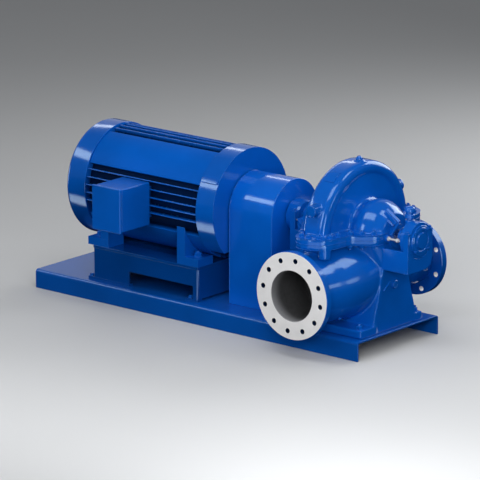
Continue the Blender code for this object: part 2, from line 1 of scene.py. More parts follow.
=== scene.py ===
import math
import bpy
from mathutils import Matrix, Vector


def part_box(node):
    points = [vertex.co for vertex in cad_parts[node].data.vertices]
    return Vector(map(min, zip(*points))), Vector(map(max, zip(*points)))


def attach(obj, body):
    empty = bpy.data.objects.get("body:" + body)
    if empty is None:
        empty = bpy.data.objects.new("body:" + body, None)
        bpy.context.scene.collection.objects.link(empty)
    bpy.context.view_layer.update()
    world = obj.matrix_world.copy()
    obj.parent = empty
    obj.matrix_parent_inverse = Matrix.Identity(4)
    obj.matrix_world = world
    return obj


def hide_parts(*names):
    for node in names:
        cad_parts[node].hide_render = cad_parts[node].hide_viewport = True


bl_info = {
    "name": "Split case pump set",
    "version": (1, 0, 0),
    "blender": (4, 5, 0),
    "location": "View3D > Sidebar > Pump set",
    "description": "Builds the visible pieces of a split case pump set round its packed frame",
    "category": "Object",
}

import bmesh
import bpy
from mathutils import Matrix, Vector

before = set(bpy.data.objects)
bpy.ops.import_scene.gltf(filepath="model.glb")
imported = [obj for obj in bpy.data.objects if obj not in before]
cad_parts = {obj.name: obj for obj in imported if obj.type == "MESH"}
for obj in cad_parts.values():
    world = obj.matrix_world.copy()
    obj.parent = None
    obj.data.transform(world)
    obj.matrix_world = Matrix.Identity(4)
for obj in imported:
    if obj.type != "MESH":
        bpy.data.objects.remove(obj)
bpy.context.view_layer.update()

# The pieces are worked out about the middle of the base on the floor, with +X from the motor to the pump and
# the suction flange at -Y, and are moved to the frame's place when they are finished.
BASE_LO, BASE_HI = (Vector(corner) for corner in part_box("base_plate"))
SHIFT = Vector(((BASE_LO.x + BASE_HI.x) / 2, (BASE_LO.y + BASE_HI.y) / 2, 0.0))


def node_box(name):
    """Lowest and highest corner of a CAD node, about the middle of the base."""
    lo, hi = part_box(name)
    return Vector(lo) - SHIFT, Vector(hi) - SHIFT


FRAME_LO, FRAME_HI = node_box("motor_frame")
SHIELD_LO, SHIELD_HI = node_box("motor_drive_end_shield")
COVER_LO, COVER_HI = node_box("motor_fan_cover")
GUARD_LO, GUARD_HI = node_box("coupling_guard_hood")
SUCTION_LO, SUCTION_HI = node_box("suction_flange")
DISCHARGE_HI = node_box("discharge_flange")[1]
BOX_LO, BOX_HI = node_box("motor_terminal_box")
POST_END = node_box("outboard_bearing_cover")[0].x
RISER_LO, RISER_HI = (corner.x for corner in node_box("riser_top_plate"))
RISER_LIP = 0.12                    # height below which the riser's rails widen into feet

CLEAR = 0.0003                      # gap between pieces that touch
AXIS_Z = 0.497                      # shaft
PUMP_X = (SUCTION_LO.x + SUCTION_HI.x) / 2
NOZZLE_Z = (SUCTION_LO.z + SUCTION_HI.z) / 2
SHARP = math.radians(38)
END_R = 0.258                       # fan cover and drive end shield

# motor frame, as in the CAD
BODY_R, RIB_R, RIB_PITCH = 0.226, 0.252, math.radians(8.2)
PANEL_FROM, PANEL_TO = math.radians(27.5), math.radians(69.5)

RIB_RAISE = 0.6                     # upward shift of the side ribs, in pitches

# pump casing about the shaft, as (distance from the middle of the pump, radius)
RIM = ((0.0, 0.297), (0.020, 0.297), (0.038, 0.2962), (0.049, 0.2925), (0.057, 0.285), (0.0615, 0.274),
       (0.0625, 0.262), (0.060, 0.250), (0.055, 0.2435))
SIDE = ((0.0550, 0.236), (0.0560, 0.200), (0.058, 0.165), (0.063, 0.138), (0.073, 0.128))
DOME = ((0.086, 0.132), (0.105, 0.140), (0.125, 0.143), (0.140, 0.1415), (0.155, 0.137), (0.170, 0.130),
        (0.185, 0.122), (0.200, 0.111), (0.213, 0.101), (0.220, 0.092))
SPLIT_T, SPLIT_ROUND = 0.023, 0.0055
LOBE = ((0.0, 0.366), (0.040, 0.360), (0.068, 0.348), (0.092, 0.328), (0.108, 0.298), (0.114, 0.260))
LOBE_INBOARD = ((-0.028, 0.358), (-0.046, 0.338), (-0.060, 0.305), (-0.074, 0.270))
WAIST = ((0.117, 0.212), (0.134, 0.188), (0.160, 0.166), (0.200, 0.136), (0.217, 0.118))
FRONT_NOZZLE = ((-0.3997, 0.280, 0.138, 0.138), (-0.37, 0.280, 0.142, 0.140), (-0.31, 0.284, 0.160, 0.150),
                (-0.24, 0.292, 0.188, 0.164), (-0.15, 0.302, 0.208, 0.178), (-0.05, 0.312, 0.214, 0.186),
                (0.06, 0.312, 0.206, 0.186))
REAR_NOZZLE = ((0.0, 0.305, 0.17, 0.17), (0.12, 0.300, 0.160, 0.165), (0.22, 0.290, 0.138, 0.148),
               (0.30, 0.282, 0.120, 0.125), (0.3987, 0.280, 0.114, 0.114))
STAND = ((0.148, 0.118), (0.141, 0.150), (0.133, 0.180), (0.121, 0.215), (0.111, 0.250), (0.101, 0.290),
         (0.092, 0.330), (0.085, 0.366))
STAND_X, FOOT_X = (0.465, 0.905), (0.462, 0.908)
FOOT_FRONT, FOOT_REAR, FOOT_Z = -0.238, 0.187, (0.0863, 0.122)
SHOULDER = ((0.095, 0.150, 0.470, 0.120, 0.330), (0.187, 0.125, 0.470, 0.086, 0.345),
            (0.220, 0.085, 0.457, 0.080, 0.362))
ARM_Y, ARM_Z0, ARM_WALL, ARM_CORNER = 0.085, 0.362, 0.014, 0.055
TROUGH_TOP, POST_TOP = 0.457, 0.537
OUTER_POST, INNER_POST = (1.012, 1.038), (0.420, 0.392)
OUTER_HOUSING_R, INNER_HOUSING_R = 0.079, 0.073
SUCTION_BORE, DISCHARGE_BORE, BORE_DEPTH = 0.110, 0.090, 0.22
SUCTION_PITCH_R, DISCHARGE_PITCH_R, BOLT_HOLE_R = 0.157, 0.1445, 0.0114
# over this stretch the bore fades from bare grey to the dark coat, a fade that is also painted shade
MOUTH_DEPTH = 0.07                  # stretch of a bore that is bare grey
SHAFT_BORE_R, SHAFT_BORE_X = 0.040, (0.455, 0.865)
TOP_BOSS_X, BREATHER_X = 0.704, 0.980
LUG_Z, LUG_R = 0.625, 0.0262        # lifting lugs
GLAND_STUD_Y = 0.066


# sizes and colours that a user would change

def length(name, description, default, low=0.0, high=0.5):
    return bpy.props.FloatProperty(name=name, description=description, default=default, min=low, max=high,
                                   subtype="DISTANCE", unit="LENGTH")


def colour(name, description, default):
    return bpy.props.FloatVectorProperty(name=name, description=description, default=default, size=3, min=0.0,
                                         max=1.0, subtype="COLOR")


class FinishSettings(bpy.types.PropertyGroup):
    paint: colour("Paint", "Gloss enamel on all castings and plates", (0.0012, 0.100, 0.500))
    machined: colour("Machined face", "Bare joint face of the pipe flanges", (0.88, 0.88, 0.89))
    bore: colour("Bore", "Dark coating inside the nozzles", (0.050, 0.051, 0.054))
    zinc: colour("Zinc", "Plated screws, studs and nuts", (0.85, 0.86, 0.87))


class BaseSettings(bpy.types.PropertyGroup):
    edge: length("Edge", "Rounding of plate edges", 0.0015, 0.0, 0.004)
    bend: length("Bend", "Outer radius of the riser's upright corners", 0.009, 0.002, 0.011)
    screw: length("Screw", "Thread size of the screws that hold the riser", 0.012, 0.004, 0.03)


class MotorSettings(bpy.types.PropertyGroup):
    rib: length("Rib", "Thickness of a cooling rib", 0.0065, 0.002, 0.02)
    edge: length("Edge", "Rounding of the end castings", 0.005, 0.0, 0.01)
    screw: length("Screw", "Thread size of the foot screws", 0.020, 0.004, 0.03)
    grille_bar: length("Grille bar", "Thickness of the bars in the air inlet", 0.003, 0.001, 0.01)


class PumpSettings(bpy.types.PropertyGroup):
    grain: length("Grain", "Voxel size of the cast shapes", 0.0042, 0.002, 0.01)
    flange_nut: length("Flange nut", "Thread size of the studs round the split flange", 0.014, 0.004, 0.03)
    foot_bolt: length("Foot bolt", "Thread size of the bolts through the feet", 0.018, 0.004, 0.03)
    gland_stud: length("Gland stud", "Thread size of the gland studs", 0.010, 0.004, 0.02)


class StageSettings(bpy.types.PropertyGroup):
    floor: colour("Floor", "Plain pale floor", (0.60, 0.61, 0.62))
    power: bpy.props.FloatProperty(name="Light", description="Brightness of all the lamps", default=1.0, min=0.0)


class PumpSet(bpy.types.PropertyGroup):
    finish: bpy.props.PointerProperty(type=FinishSettings)
    base: bpy.props.PointerProperty(type=BaseSettings)
    motor: bpy.props.PointerProperty(type=MotorSettings)
    pump: bpy.props.PointerProperty(type=PumpSettings)
    stage: bpy.props.PointerProperty(type=StageSettings)


# mesh helpers

def arc(a, b, radius, start, end, steps):
    return [(a + radius * math.cos(start + (end - start) * i / steps),
             b + radius * math.sin(start + (end - start) * i / steps)) for i in range(steps + 1)]


def smooth_line(points, per=6):
    """A Catmull-Rom line through the points, ends included."""
    points = [Vector(p) for p in points]
    padded = [2 * points[0] - points[1]] + points + [2 * points[-1] - points[-2]]
    line = []
    for a, b, c, d in zip(padded, padded[1:], padded[2:], padded[3:]):
        for i in range(per):
            t = i / per
            line.append(0.5 * (2 * b + (c - a) * t + (2 * a - 5 * b + 4 * c - d) * t * t
                               + (3 * b - a - 3 * c + d) * t ** 3))
    return [tuple(p) for p in line + [points[-1]]]


def rings(loops, closed=True):
    """Joins rings of points into a closed solid with flat ends, or into a closed ring of rings."""
    bm = bmesh.new()
    made = [[bm.verts.new(p) for p in loop] for loop in loops]
    pairs = list(zip(made, made[1:])) + ([] if closed else [(made[-1], made[0])])
    for a, b in pairs:
        for i in range(len(a)):
            j = (i + 1) % len(a)
            bm.faces.new((a[i], a[j], b[j], b[i]))
    if closed:
        bm.faces.new(made[0])
        bm.faces.new(made[-1])
    bmesh.ops.recalc_face_normals(bm, faces=bm.faces[:])
    return bm


def turned(profile, centre, axis, steps=96, hollow=False):
    """Turns (distance, radius) points about a line through centre. A hollow profile closes on itself."""
    turn = {"X": Matrix.Identity(4), "Y": Matrix.Rotation(math.pi / 2, 4, "Z"),
            "Z": Matrix.Rotation(-math.pi / 2, 4, "Y")}[axis]
    angles = [2 * math.pi * i / steps for i in range(steps)]
    bm = rings([[(d, r * math.cos(a), r * math.sin(a)) for a in angles] for d, r in profile], not hollow)
    bmesh.ops.transform(bm, matrix=Matrix.Translation(centre) @ turn, verts=bm.verts[:])
    return bm


def pulled(outline, lo, hi, axis):
    """Extrudes a closed outline of (y, z), (x, z) or (x, y) along X, Y or Z."""
    place = {"X": lambda a, b, c: (c, a, b), "Y": lambda a, b, c: (a, c, b), "Z": lambda a, b, c: (a, b, c)}[axis]
    return rings([[place(a, b, c) for a, b in outline] for c in (lo, hi)])


def block(x, y, z):
    return pulled([(y[0], z[0]), (y[1], z[0]), (y[1], z[1]), (y[0], z[1])], x[0], x[1], "X")


def joined(*parts):
    """One mesh from several bmeshes, which are used up."""
    whole = bmesh.new()
    for part in parts:
        mesh = bpy.data.meshes.new("part")
        part.to_mesh(mesh)
        part.free()
        whole.from_mesh(mesh)
        bpy.data.meshes.remove(mesh)
    mesh = bpy.data.meshes.new("joined")
    whole.to_mesh(mesh)
    whole.free()
    return mesh


def shaped(mesh, *steps):
    """Runs modifiers over a mesh and gives back the finished mesh. A step is (type, settings)."""
    holder = bpy.data.objects.new("holder", mesh)
    bpy.context.scene.collection.objects.link(holder)
    for kind, settings in steps:
        modifier = holder.modifiers.new(kind, kind)
        for key, value in settings.items():
            setattr(modifier, key, value)
    graph = bpy.context.evaluated_depsgraph_get()
    result = bpy.data.meshes.new_from_object(holder.evaluated_get(graph))
    bpy.data.objects.remove(holder)
    bpy.data.meshes.remove(mesh)
    return result


def cut(mesh, tool, operation="DIFFERENCE", solver="MANIFOLD"):
    """Boolean of a mesh with one tool mesh."""
    other = bpy.data.objects.new("tool", tool)
    bpy.context.scene.collection.objects.link(other)
    result = shaped(mesh, ("BOOLEAN", {"operation": operation, "object": other, "solver": solver}))
    bpy.data.objects.remove(other)
    bpy.data.meshes.remove(tool)
    return result


def cast(mesh, voxel, rounds=6):
    """Melts overlapping shells into one skin with soft corners, like a sand casting."""
    return shaped(mesh, ("REMESH", {"mode": "VOXEL", "voxel_size": voxel, "use_smooth_shade": True}),
                  ("SMOOTH", {"factor": 0.5, "iterations": rounds}))


def eased(mesh, width, segments=2):
    """Rounds the sharp edges of a plate or a turned piece and keeps its broad faces flat in reflections."""
    mesh.shade_smooth()
    return shaped(mesh, ("BEVEL", {"width": width, "segments": segments, "limit_method": "ANGLE",
                                   "angle_limit": math.radians(32)}),
                  ("WEIGHTED_NORMAL", {"mode": "FACE_AREA", "weight": 50}))


def cad_copy(node):
    """A copy of a CAD node, about the middle of the base, with its points merged and its flat faces whole."""
    bm = bmesh.new()
    bm.from_mesh(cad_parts[node].data)
    bmesh.ops.remove_doubles(bm, verts=bm.verts[:], dist=2e-5)
    bmesh.ops.dissolve_limit(bm, angle_limit=math.radians(0.6), verts=bm.verts[:], edges=bm.edges[:])
    bmesh.ops.translate(bm, vec=-SHIFT, verts=bm.verts[:])
    return bm


def piece(name, mesh, finishes, slot, *nodes, angle=SHARP):
    """Puts a finished mesh in the frame's place, as a piece that rides on the one body."""
    mesh.name = name
    mesh.transform(Matrix.Translation(SHIFT))
    if finishes is not None:
        mesh.materials.clear()
        for finish in finishes if isinstance(finishes, (list, tuple)) else [finishes]:
            mesh.materials.append(finish)
    if not mesh.has_custom_normals:
        mesh.shade_smooth()
        mesh.set_sharp_from_angle(angle=angle)
    obj = bpy.data.objects.new(name, mesh)
    bpy.context.scene.collection.objects.link(obj)
    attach(obj, "root")
    if nodes:
        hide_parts(*nodes)
    return obj


# node tree helpers

def add(tree, kind, values=None, **settings):
    """Adds a node with its settings, and its inputs as values or as links."""
    made = tree.nodes.new(kind)
    for key, value in settings.items():
        setattr(made, key, value)
    for key, value in (values or {}).items():
        socket = made.inputs[key]
        if isinstance(value, bpy.types.NodeSocket):
            tree.links.new(value, socket)
        else:
            socket.default_value = value
    return made


def maths(tree, operation, *values, **settings):
    return add(tree, "ShaderNodeMath", dict(enumerate(values)), operation=operation, **settings).outputs[0]


def vectors(tree, operation, *values, output=0):
    return add(tree, "ShaderNodeVectorMath", dict(enumerate(values)), operation=operation).outputs[output]


def scaled(tree, vector, factor):
    return add(tree, "ShaderNodeVectorMath", {0: vector, "Scale": factor}, operation="SCALE").outputs[0]


def remap(tree, value, lo, hi, to_lo=0.0, to_hi=1.0, **settings):
    """Stretches the span lo to hi onto another one and clamps the rest."""
    return add(tree, "ShaderNodeMapRange", {"Value": value, "From Min": lo, "From Max": hi, "To Min": to_lo,
                                            "To Max": to_hi}, **settings).outputs[0]


def noise(tree, place, scale, detail, roughness=0.5):
    return add(tree, "ShaderNodeTexNoise", {"Vector": place, "Scale": scale, "Detail": detail,
                                            "Roughness": roughness}).outputs["Fac"]


def blend(tree, factor, a, b):
    return add(tree, "ShaderNodeMix", {"Factor": factor, "A": a, "B": b}, data_type="RGBA").outputs["Result"]


def rgba(tone, factor=1.0):
    return (*[c * factor for c in tone], 1.0)


def object_place(tree):
    return add(tree, "ShaderNodeTexCoord").outputs["Object"]


def group(name, kind, inputs, outputs):
    """A new node group, as (tree, its inputs, a function that sets its outputs).

    Each input comes with its socket type, or with a number that is its default.
    """
    tree = bpy.data.node_groups.new(name, kind)
    for label, what in inputs.items():
        number = isinstance(what, float)
        socket_type = "NodeSocket" + ("Float" if number else what)
        made = tree.interface.new_socket(label, in_out="INPUT", socket_type=socket_type)
        if number:
            made.default_value = what
    for label, what in outputs.items():
        tree.interface.new_socket(label, in_out="OUTPUT", socket_type="NodeSocket" + what)
    source = tree.nodes.new("NodeGroupInput").outputs
    sink = tree.nodes.new("NodeGroupOutput").inputs

    def give(**results):
        for label, socket in results.items():
            tree.links.new(socket, sink[label])
    return tree, source, give


# shader groups

# the lighter blue on edges is worn paint and also a painted highlight along the edges
DUST_COLOUR, WORN_AND_HIGHLIGHT_COLOUR = (0.30, 0.36, 0.46, 1.0), (0.10, 0.28, 0.62, 1.0)


def enamel_group():
    """Gloss enamel: slow colour drift, fine orange peel, a casting's texture under it and dust on top."""
    tree, given, give = group("enamel", "ShaderNodeTree",
                              {"Colour": "Color", "Roughness": 0.2, "Casting": 0.0, "Dust": 0.1},
                              {"Colour": "Color", "Roughness": "Float", "Height": "Float"})
    place = object_place(tree)
    drift, peel = noise(tree, place, 4.0, 3.0), noise(tree, place, 420.0, 1.0)
    sand = noise(tree, place, 55.0, 5.0, 0.6)
    tint = scaled(tree, given["Colour"], remap(tree, drift, 0.3, 0.7, 0.90, 1.10))
    normal = add(tree, "ShaderNodeSeparateXYZ", {0: add(tree, "ShaderNodeNewGeometry").outputs["Normal"]})
    upward = remap(tree, normal.outputs["Z"], 0.55, 1.0)
    lies = maths(tree, "MULTIPLY", upward, remap(tree, drift, 0.45, 0.75))
    dust = maths(tree, "MULTIPLY", lies, given["Dust"])
    rough = maths(tree, "ADD", given["Roughness"], remap(tree, sand, 0.3, 0.7, -0.03, 0.04))
    give(Colour=blend(tree, dust, tint, DUST_COLOUR), Roughness=maths(tree, "MULTIPLY_ADD", dust, 0.5, rough),
         Height=maths(tree, "MULTIPLY_ADD", peel, 0.06, maths(tree, "MULTIPLY", sand, given["Casting"])))
    return tree


def worn_and_highlit_edge_group():
    """Where edges have rubbed thin: 0 on faces, up to 1 on corners, broken up by noise."""
    tree, given, give = group("worn_edge", "ShaderNodeTree", {"Amount": 0.5, "Reach": 0.002}, {"Mask": "Float"})
    rounded = add(tree, "ShaderNodeBevel", {"Radius": given["Reach"]}, samples=4).outputs["Normal"]
    turn = vectors(tree, "DOT_PRODUCT", rounded, add(tree, "ShaderNodeNewGeometry").outputs["Normal"],
                   output="Value")
    broken = maths(tree, "MULTIPLY", remap(tree, turn, 0.98, 0.80), noise(tree, object_place(tree), 60.0, 4.0))
    give(Mask=maths(tree, "MULTIPLY", broken, given["Amount"], use_clamp=True))
    return tree


def distance_from_line(tree, place, centre, across):
    """Distance from a line through the centre. The two directions across it are 1 in the last vector."""
    away = vectors(tree, "SUBTRACT", place, centre)
    return vectors(tree, "LENGTH", vectors(tree, "MULTIPLY", away, across), output="Value")


def turned_group():
    """Rings that a lathe tool leaves, round the Y line through the given centre."""
    tree, given, give = group("turned_rings", "ShaderNodeTree", {"Centre": "Vector", "Rings": 900.0},
                              {"Height": "Float", "Shade": "Float"})
    place = object_place(tree)
    radius = distance_from_line(tree, place, given["Centre"], (1.0, 0.0, 1.0))
    turns = maths(tree, "MULTIPLY", radius, given["Rings"])
    groove = add(tree, "ShaderNodeTexNoise", {"W": turns, "Scale": 1.0, "Detail": 2.0},
                 noise_dimensions="1D").outputs["Fac"]
    give(Height=groove, Shade=maths(tree, "ADD", groove, noise(tree, place, 14.0, 3.0)))
    return tree


def painted_rib_shade_group():
    """Shade between the cooling ribs: dark at the root and full colour at the crest, by distance from the shaft."""
    tree, given, give = group("rib_depth", "ShaderNodeTree", {"Centre": "Vector", "Root": 0.2, "Crest": 0.25},
                              {"Shade": "Float"})
    radius = distance_from_line(tree, object_place(tree), given["Centre"], (0.0, 1.0, 1.0))
    give(Shade=remap(tree, radius, given["Root"], given["Crest"], 0.10, 1.0))
    return tree


GROUPS = {}


def once(maker):
    """A node group, made when it is first asked for."""
    if maker not in GROUPS:
        GROUPS[maker] = maker()
    return GROUPS[maker]


def effect(tree, maker, **values):
    return add(tree, "ShaderNodeGroup", values, node_tree=once(maker)).outputs


# materials

def new_material(name):
    mat = bpy.data.materials.new(name)
    mat.use_nodes = True
    return mat, mat.node_tree, mat.node_tree.nodes["Principled BSDF"]


def wire(tree, shader, colour, roughness, height, strength, distance):
    """Links the colour, the roughness and a bump of this height to the shader."""
    made = add(tree, "ShaderNodeBump", {"Strength": strength, "Distance": distance, "Height": height})
    for socket, name in ((colour, "Base Color"), (roughness, "Roughness"), (made.outputs["Normal"], "Normal")):
        tree.links.new(socket, shader.inputs[name])


def enamel(name, casting=0.0, roughness=0.12, dust=0.015, wear=0.35, lighter=1.0, shine=0.8, ribbed=False):
    """Gloss blue enamel."""
    mat, tree, shader = new_material(name)
    coat = effect(tree, enamel_group, Colour=rgba(settings().finish.paint, lighter), Roughness=roughness,
                  Casting=casting, Dust=dust)
    # lighter edges: worn paint, and painted highlight along them
    worn_and_highlit = effect(tree, worn_and_highlit_edge_group, Amount=wear, Reach=0.002)
    colour = blend(tree, worn_and_highlit["Mask"], coat["Colour"], WORN_AND_HIGHLIGHT_COLOUR)
    # painted shade: darker towards the root of the cooling ribs
    if ribbed:
        depth = effect(tree, painted_rib_shade_group, Centre=(0.0, SHIFT.y, AXIS_Z), Root=BODY_R + 0.004,
                       Crest=RIB_R - 0.001)
        colour = scaled(tree, colour, depth["Shade"])
    shader.inputs["Specular Tint"].default_value = (0.6, 0.85, 1.0, 1.0)
    shader.inputs["Specular IOR Level"].default_value = shine
    wire(tree, shader, colour, coat["Roughness"], coat["Height"], 0.10, 0.0004)
    return mat


def machined(name):
    """Bare turned joint face, pale and slightly brushed."""
    mat, tree, shader = new_material(name)
    lathe = effect(tree, turned_group, Centre=(PUMP_X + SHIFT.x, 0.0, NOZZLE_Z), Rings=900.0)
    tone = settings().finish.machined
    colour = blend(tree, remap(tree, lathe["Shade"], 0.6, 1.4), rgba(tone, 0.86), rgba(tone))
    wire(tree, shader, colour, remap(tree, lathe["Shade"], 0.6, 1.4, 0.32, 0.46), lathe["Height"], 0.15, 0.0003)
    return mat


def bright_steel(name, tone=None, roughness=0.24, metallic=1.0):
    """Zinc plated or turned steel, with fine clouding."""
    mat, tree, shader = new_material(name)
    tone = tone or settings().finish.zinc
    cloud = noise(tree, object_place(tree), 90.0, 4.0)
    shader.inputs["Metallic"].default_value = metallic
    wire(tree, shader, blend(tree, cloud, rgba(tone, 0.8), rgba(tone)),
         remap(tree, cloud, 0.3, 0.7, roughness - 0.06, roughness + 0.1), cloud, 0.08, 0.0003)
    return mat


def dark_coat(name):
    """Bare grey at the mouth of a nozzle, turning into a near-black coating deeper in."""
    mat, tree, shader = new_material(name)
    tone = settings().finish.bore
    place = object_place(tree)
    sand = noise(tree, place, 70.0, 5.0)
    along = add(tree, "ShaderNodeSeparateXYZ", {0: vectors(tree, "SUBTRACT", place, SHIFT)}).outputs["Y"]
    # pale at the mouth and darker deeper in: a bare band, and painted shade of the recess
    mouth = remap(tree, maths(tree, "ABSOLUTE", along), DISCHARGE_HI.y - MOUTH_DEPTH, DISCHARGE_HI.y,
                  interpolation_type="SMOOTHSTEP")
    coat = blend(tree, sand, rgba(tone, 0.6), rgba(tone, 1.4))
    wire(tree, shader, blend(tree, mouth, coat, rgba(tone, 5.0)), remap(tree, sand, 0.3, 0.7, 0.30, 0.42), sand,
         0.2, 0.0008)
    return mat


# each finish, as (maker, settings)
FINISHES = {
    # one enamel made darker as painted shade on the base and the riser, and lighter as painted light on the guard
    "base_enamel": (enamel, {"roughness": 0.2, "dust": 0.03, "lighter": 0.85}),
    "riser_enamel": (enamel, {"dust": 0.0, "lighter": 0.55}),
    "motor_enamel": (enamel, {"casting": 0.25, "roughness": 0.2, "shine": 0.6}),
    "frame_enamel": (enamel, {"casting": 0.25, "roughness": 0.45, "dust": 0.0, "shine": 0.03, "ribbed": True}),
    "cover_enamel": (enamel, {"casting": 0.05}),
    "rib_enamel": (enamel, {"casting": 0.1, "roughness": 0.25, "dust": 0.0, "shine": 0.6, "ribbed": True}),
    "guard_enamel": (enamel, {"lighter": 1.15}),
    "pump_enamel": (enamel, {"casting": 0.35}),
    "flange_enamel": (enamel, {"casting": 0.3}),
    "machined_face": (machined, {}),
    "bore_coat": (dark_coat, {}),
    "zinc": (bright_steel, {"metallic": 0.4}),
    "shaft_steel": (bright_steel, {"tone": (0.55, 0.56, 0.57), "roughness": 0.2}),
    "hole_shadow": (enamel, {"roughness": 0.5, "dust": 0.0, "wear": 0.0, "lighter": 0.06, "shine": 0.1}),
    "grille_shadow": (enamel, {"roughness": 0.5, "dust": 0.0, "wear": 0.0, "lighter": 0.12}),
}
MATERIALS = {}


def finish(name):
    """A material by its name, made when it is first asked for."""
    if name not in MATERIALS:
        maker, values = FINISHES[name]
        MATERIALS[name] = maker(name, **values)
    return MATERIALS[name]


# geometry node trees

def scatter_mesh(points):
    """A mesh of loose points for a node tree to stand shapes on. A point is (place, direction, size)."""
    mesh = bpy.data.meshes.new("points")
    mesh.from_pydata([Vector(p) + SHIFT for p, _, _ in points], [], [])
    mesh.attributes.new("facing", "FLOAT_VECTOR", "POINT")
    mesh.attributes.new("size", "FLOAT", "POINT")
    for i, (_, direction, value) in enumerate(points):
        mesh.attributes["facing"].data[i].vector = Vector(direction).normalized()
        mesh.attributes["size"].data[i].value = value
    return mesh


def named(tree, name, data_type):
    return add(tree, "GeometryNodeInputNamedAttribute", {"Name": name}, data_type=data_type).outputs["Attribute"]


def realised(tree, instances):
    return add(tree, "GeometryNodeRealizeInstances", {"Geometry": instances.outputs["Instances"]}).outputs[0]


def painted(tree, given, geometry):
    return add(tree, "GeometryNodeSetMaterial", {"Geometry": geometry, "Material": given["Material"]}).outputs[0]


def lifted(tree, geometry, height):
    """The geometry moved up along Z by a value or a socket."""
    up = add(tree, "ShaderNodeCombineXYZ", {"Z": height})
    return add(tree, "GeometryNodeTransform", {"Geometry": geometry, "Translation": up.outputs[0]}).outputs[0]


def stand_on_points(tree, given, give, parts):
    """Ends a tree: the joined parts on each point, turned to its facing and scaled by its size."""
    whole = add(tree, "GeometryNodeJoinGeometry")
    for part in parts:
        tree.links.new(part, whole.inputs[0])
    facing = named(tree, "facing", "FLOAT_VECTOR")
    turn = add(tree, "FunctionNodeAlignRotationToVector", {"Vector": facing}, axis="Z")
    copies = add(tree, "GeometryNodeInstanceOnPoints",
                 {"Points": given["Geometry"], "Instance": whole.outputs[0], "Rotation": turn.outputs["Rotation"],
                  "Scale": named(tree, "size", "FLOAT")})
    give(Geometry=painted(tree, given, realised(tree, copies)))
    return tree


def hex_tree():
    """Hexagon head or nut with a washer under it and a stud end above it, in thread diameters."""
    tree, given, give = group("hex_fasteners", "GeometryNodeTree",
                              {"Geometry": "Geometry", "Head height": 0.7, "Washer height": 0.18,
                               "Stud length": 0.3, "Material": "Material"}, {"Geometry": "Geometry"})

    def drum(sides, radius, depth, base):
        middle = maths(tree, "ADD", maths(tree, "MULTIPLY", depth, 0.5), base)
        solid = add(tree, "GeometryNodeMeshCylinder", {"Vertices": sides, "Radius": radius, "Depth": depth})
        return lifted(tree, solid.outputs["Mesh"], middle)

    head_top = maths(tree, "ADD", given["Washer height"], given["Head height"])
    dome = add(tree, "GeometryNodeMeshCone", {"Vertices": 24, "Radius Top": 0.60, "Radius Bottom": 0.78,
                                              "Depth": 0.1})
    return stand_on_points(tree, given, give, (
        drum(24, 1.02, given["Washer height"], 0.0), drum(6, 0.88, given["Head height"], given["Washer height"]),
        drum(16, 0.48, given["Stud length"], head_top), lifted(tree, dome.outputs["Mesh"], head_top)))


def rib_tree():
    """A straight cooling rib with a round crest on each point."""
    tree, given, give = group("cooling_ribs", "GeometryNodeTree",
                              {"Geometry": "Geometry", "Length": 0.6, "Thickness": 0.0065, "Height": 0.026,
                               "Material": "Material"}, {"Geometry": "Geometry"})
    half = maths(tree, "MULTIPLY", given["Thickness"], 0.5)
    straight = maths(tree, "SUBTRACT", given["Height"], half)
    size = add(tree, "ShaderNodeCombineXYZ", {"X": given["Length"], "Y": given["Thickness"], "Z": straight})
    slab = add(tree, "GeometryNodeMeshCube", {"Size": size.outputs[0], "Vertices X": 2, "Vertices Y": 2,
                                              "Vertices Z": 2})
    crest = add(tree, "GeometryNodeMeshCylinder", {"Vertices": 12, "Radius": half, "Depth": given["Length"]})
    lying = add(tree, "GeometryNodeTransform", {"Geometry": crest.outputs["Mesh"],
                                                "Rotation": (0.0, math.pi / 2, 0.0)}).outputs[0]
    return stand_on_points(tree, given, give, (
        lifted(tree, slab.outputs["Mesh"], maths(tree, "MULTIPLY", straight, 0.5)), lifted(tree, lying, straight)))


def grille_tree():
    """Round bars of growing size about X, one on each point, whose size is the bar's radius."""
    tree, given, give = group("grille_bars", "GeometryNodeTree",
                              {"Geometry": "Geometry", "Bar": 0.003, "Material": "Material"},
                              {"Geometry": "Geometry"})
    ring = add(tree, "GeometryNodeCurvePrimitiveCircle", {"Resolution": 72, "Radius": 1.0})
    copies = add(tree, "GeometryNodeInstanceOnPoints",
                 {"Points": given["Geometry"], "Instance": ring.outputs["Curve"],
                  "Rotation": (0.0, math.pi / 2, 0.0), "Scale": named(tree, "size", "FLOAT")})
    section = add(tree, "GeometryNodeCurvePrimitiveCircle", {"Resolution": 8, "Radius": given["Bar"]})
    bars = add(tree, "GeometryNodeCurveToMesh", {"Curve": realised(tree, copies),
                                                 "Profile Curve": section.outputs["Curve"]})
    give(Geometry=painted(tree, given, bars.outputs["Mesh"]))
    return tree


def grown(name, maker, points, finish_name, slot, *nodes, **inputs):
    """Runs a node tree on a set of points and keeps its result as a plain mesh piece."""
    inputs["Material"] = finish(finish_name)
    tree = once(maker)
    holder = bpy.data.objects.new("holder", scatter_mesh(points))
    bpy.context.scene.collection.objects.link(holder)
    modifier = holder.modifiers.new("tree", "NODES")
    modifier.node_group = tree
    for item in tree.interface.items_tree:
        label = item.name.replace(" ", "_")
        if item.in_out == "INPUT" and label in inputs:
            modifier[item.identifier] = inputs[label]
    graph = bpy.context.evaluated_depsgraph_get()
    mesh = bpy.data.meshes.new_from_object(holder.evaluated_get(graph))
    bpy.data.objects.remove(holder)
    mesh.transform(Matrix.Translation(-SHIFT))
    if not mesh.polygons:
        raise RuntimeError(f"{name} came out empty")
    return piece(name, mesh, None, slot, *nodes)


def settings():
    return bpy.context.scene.pump_set


# base and riser

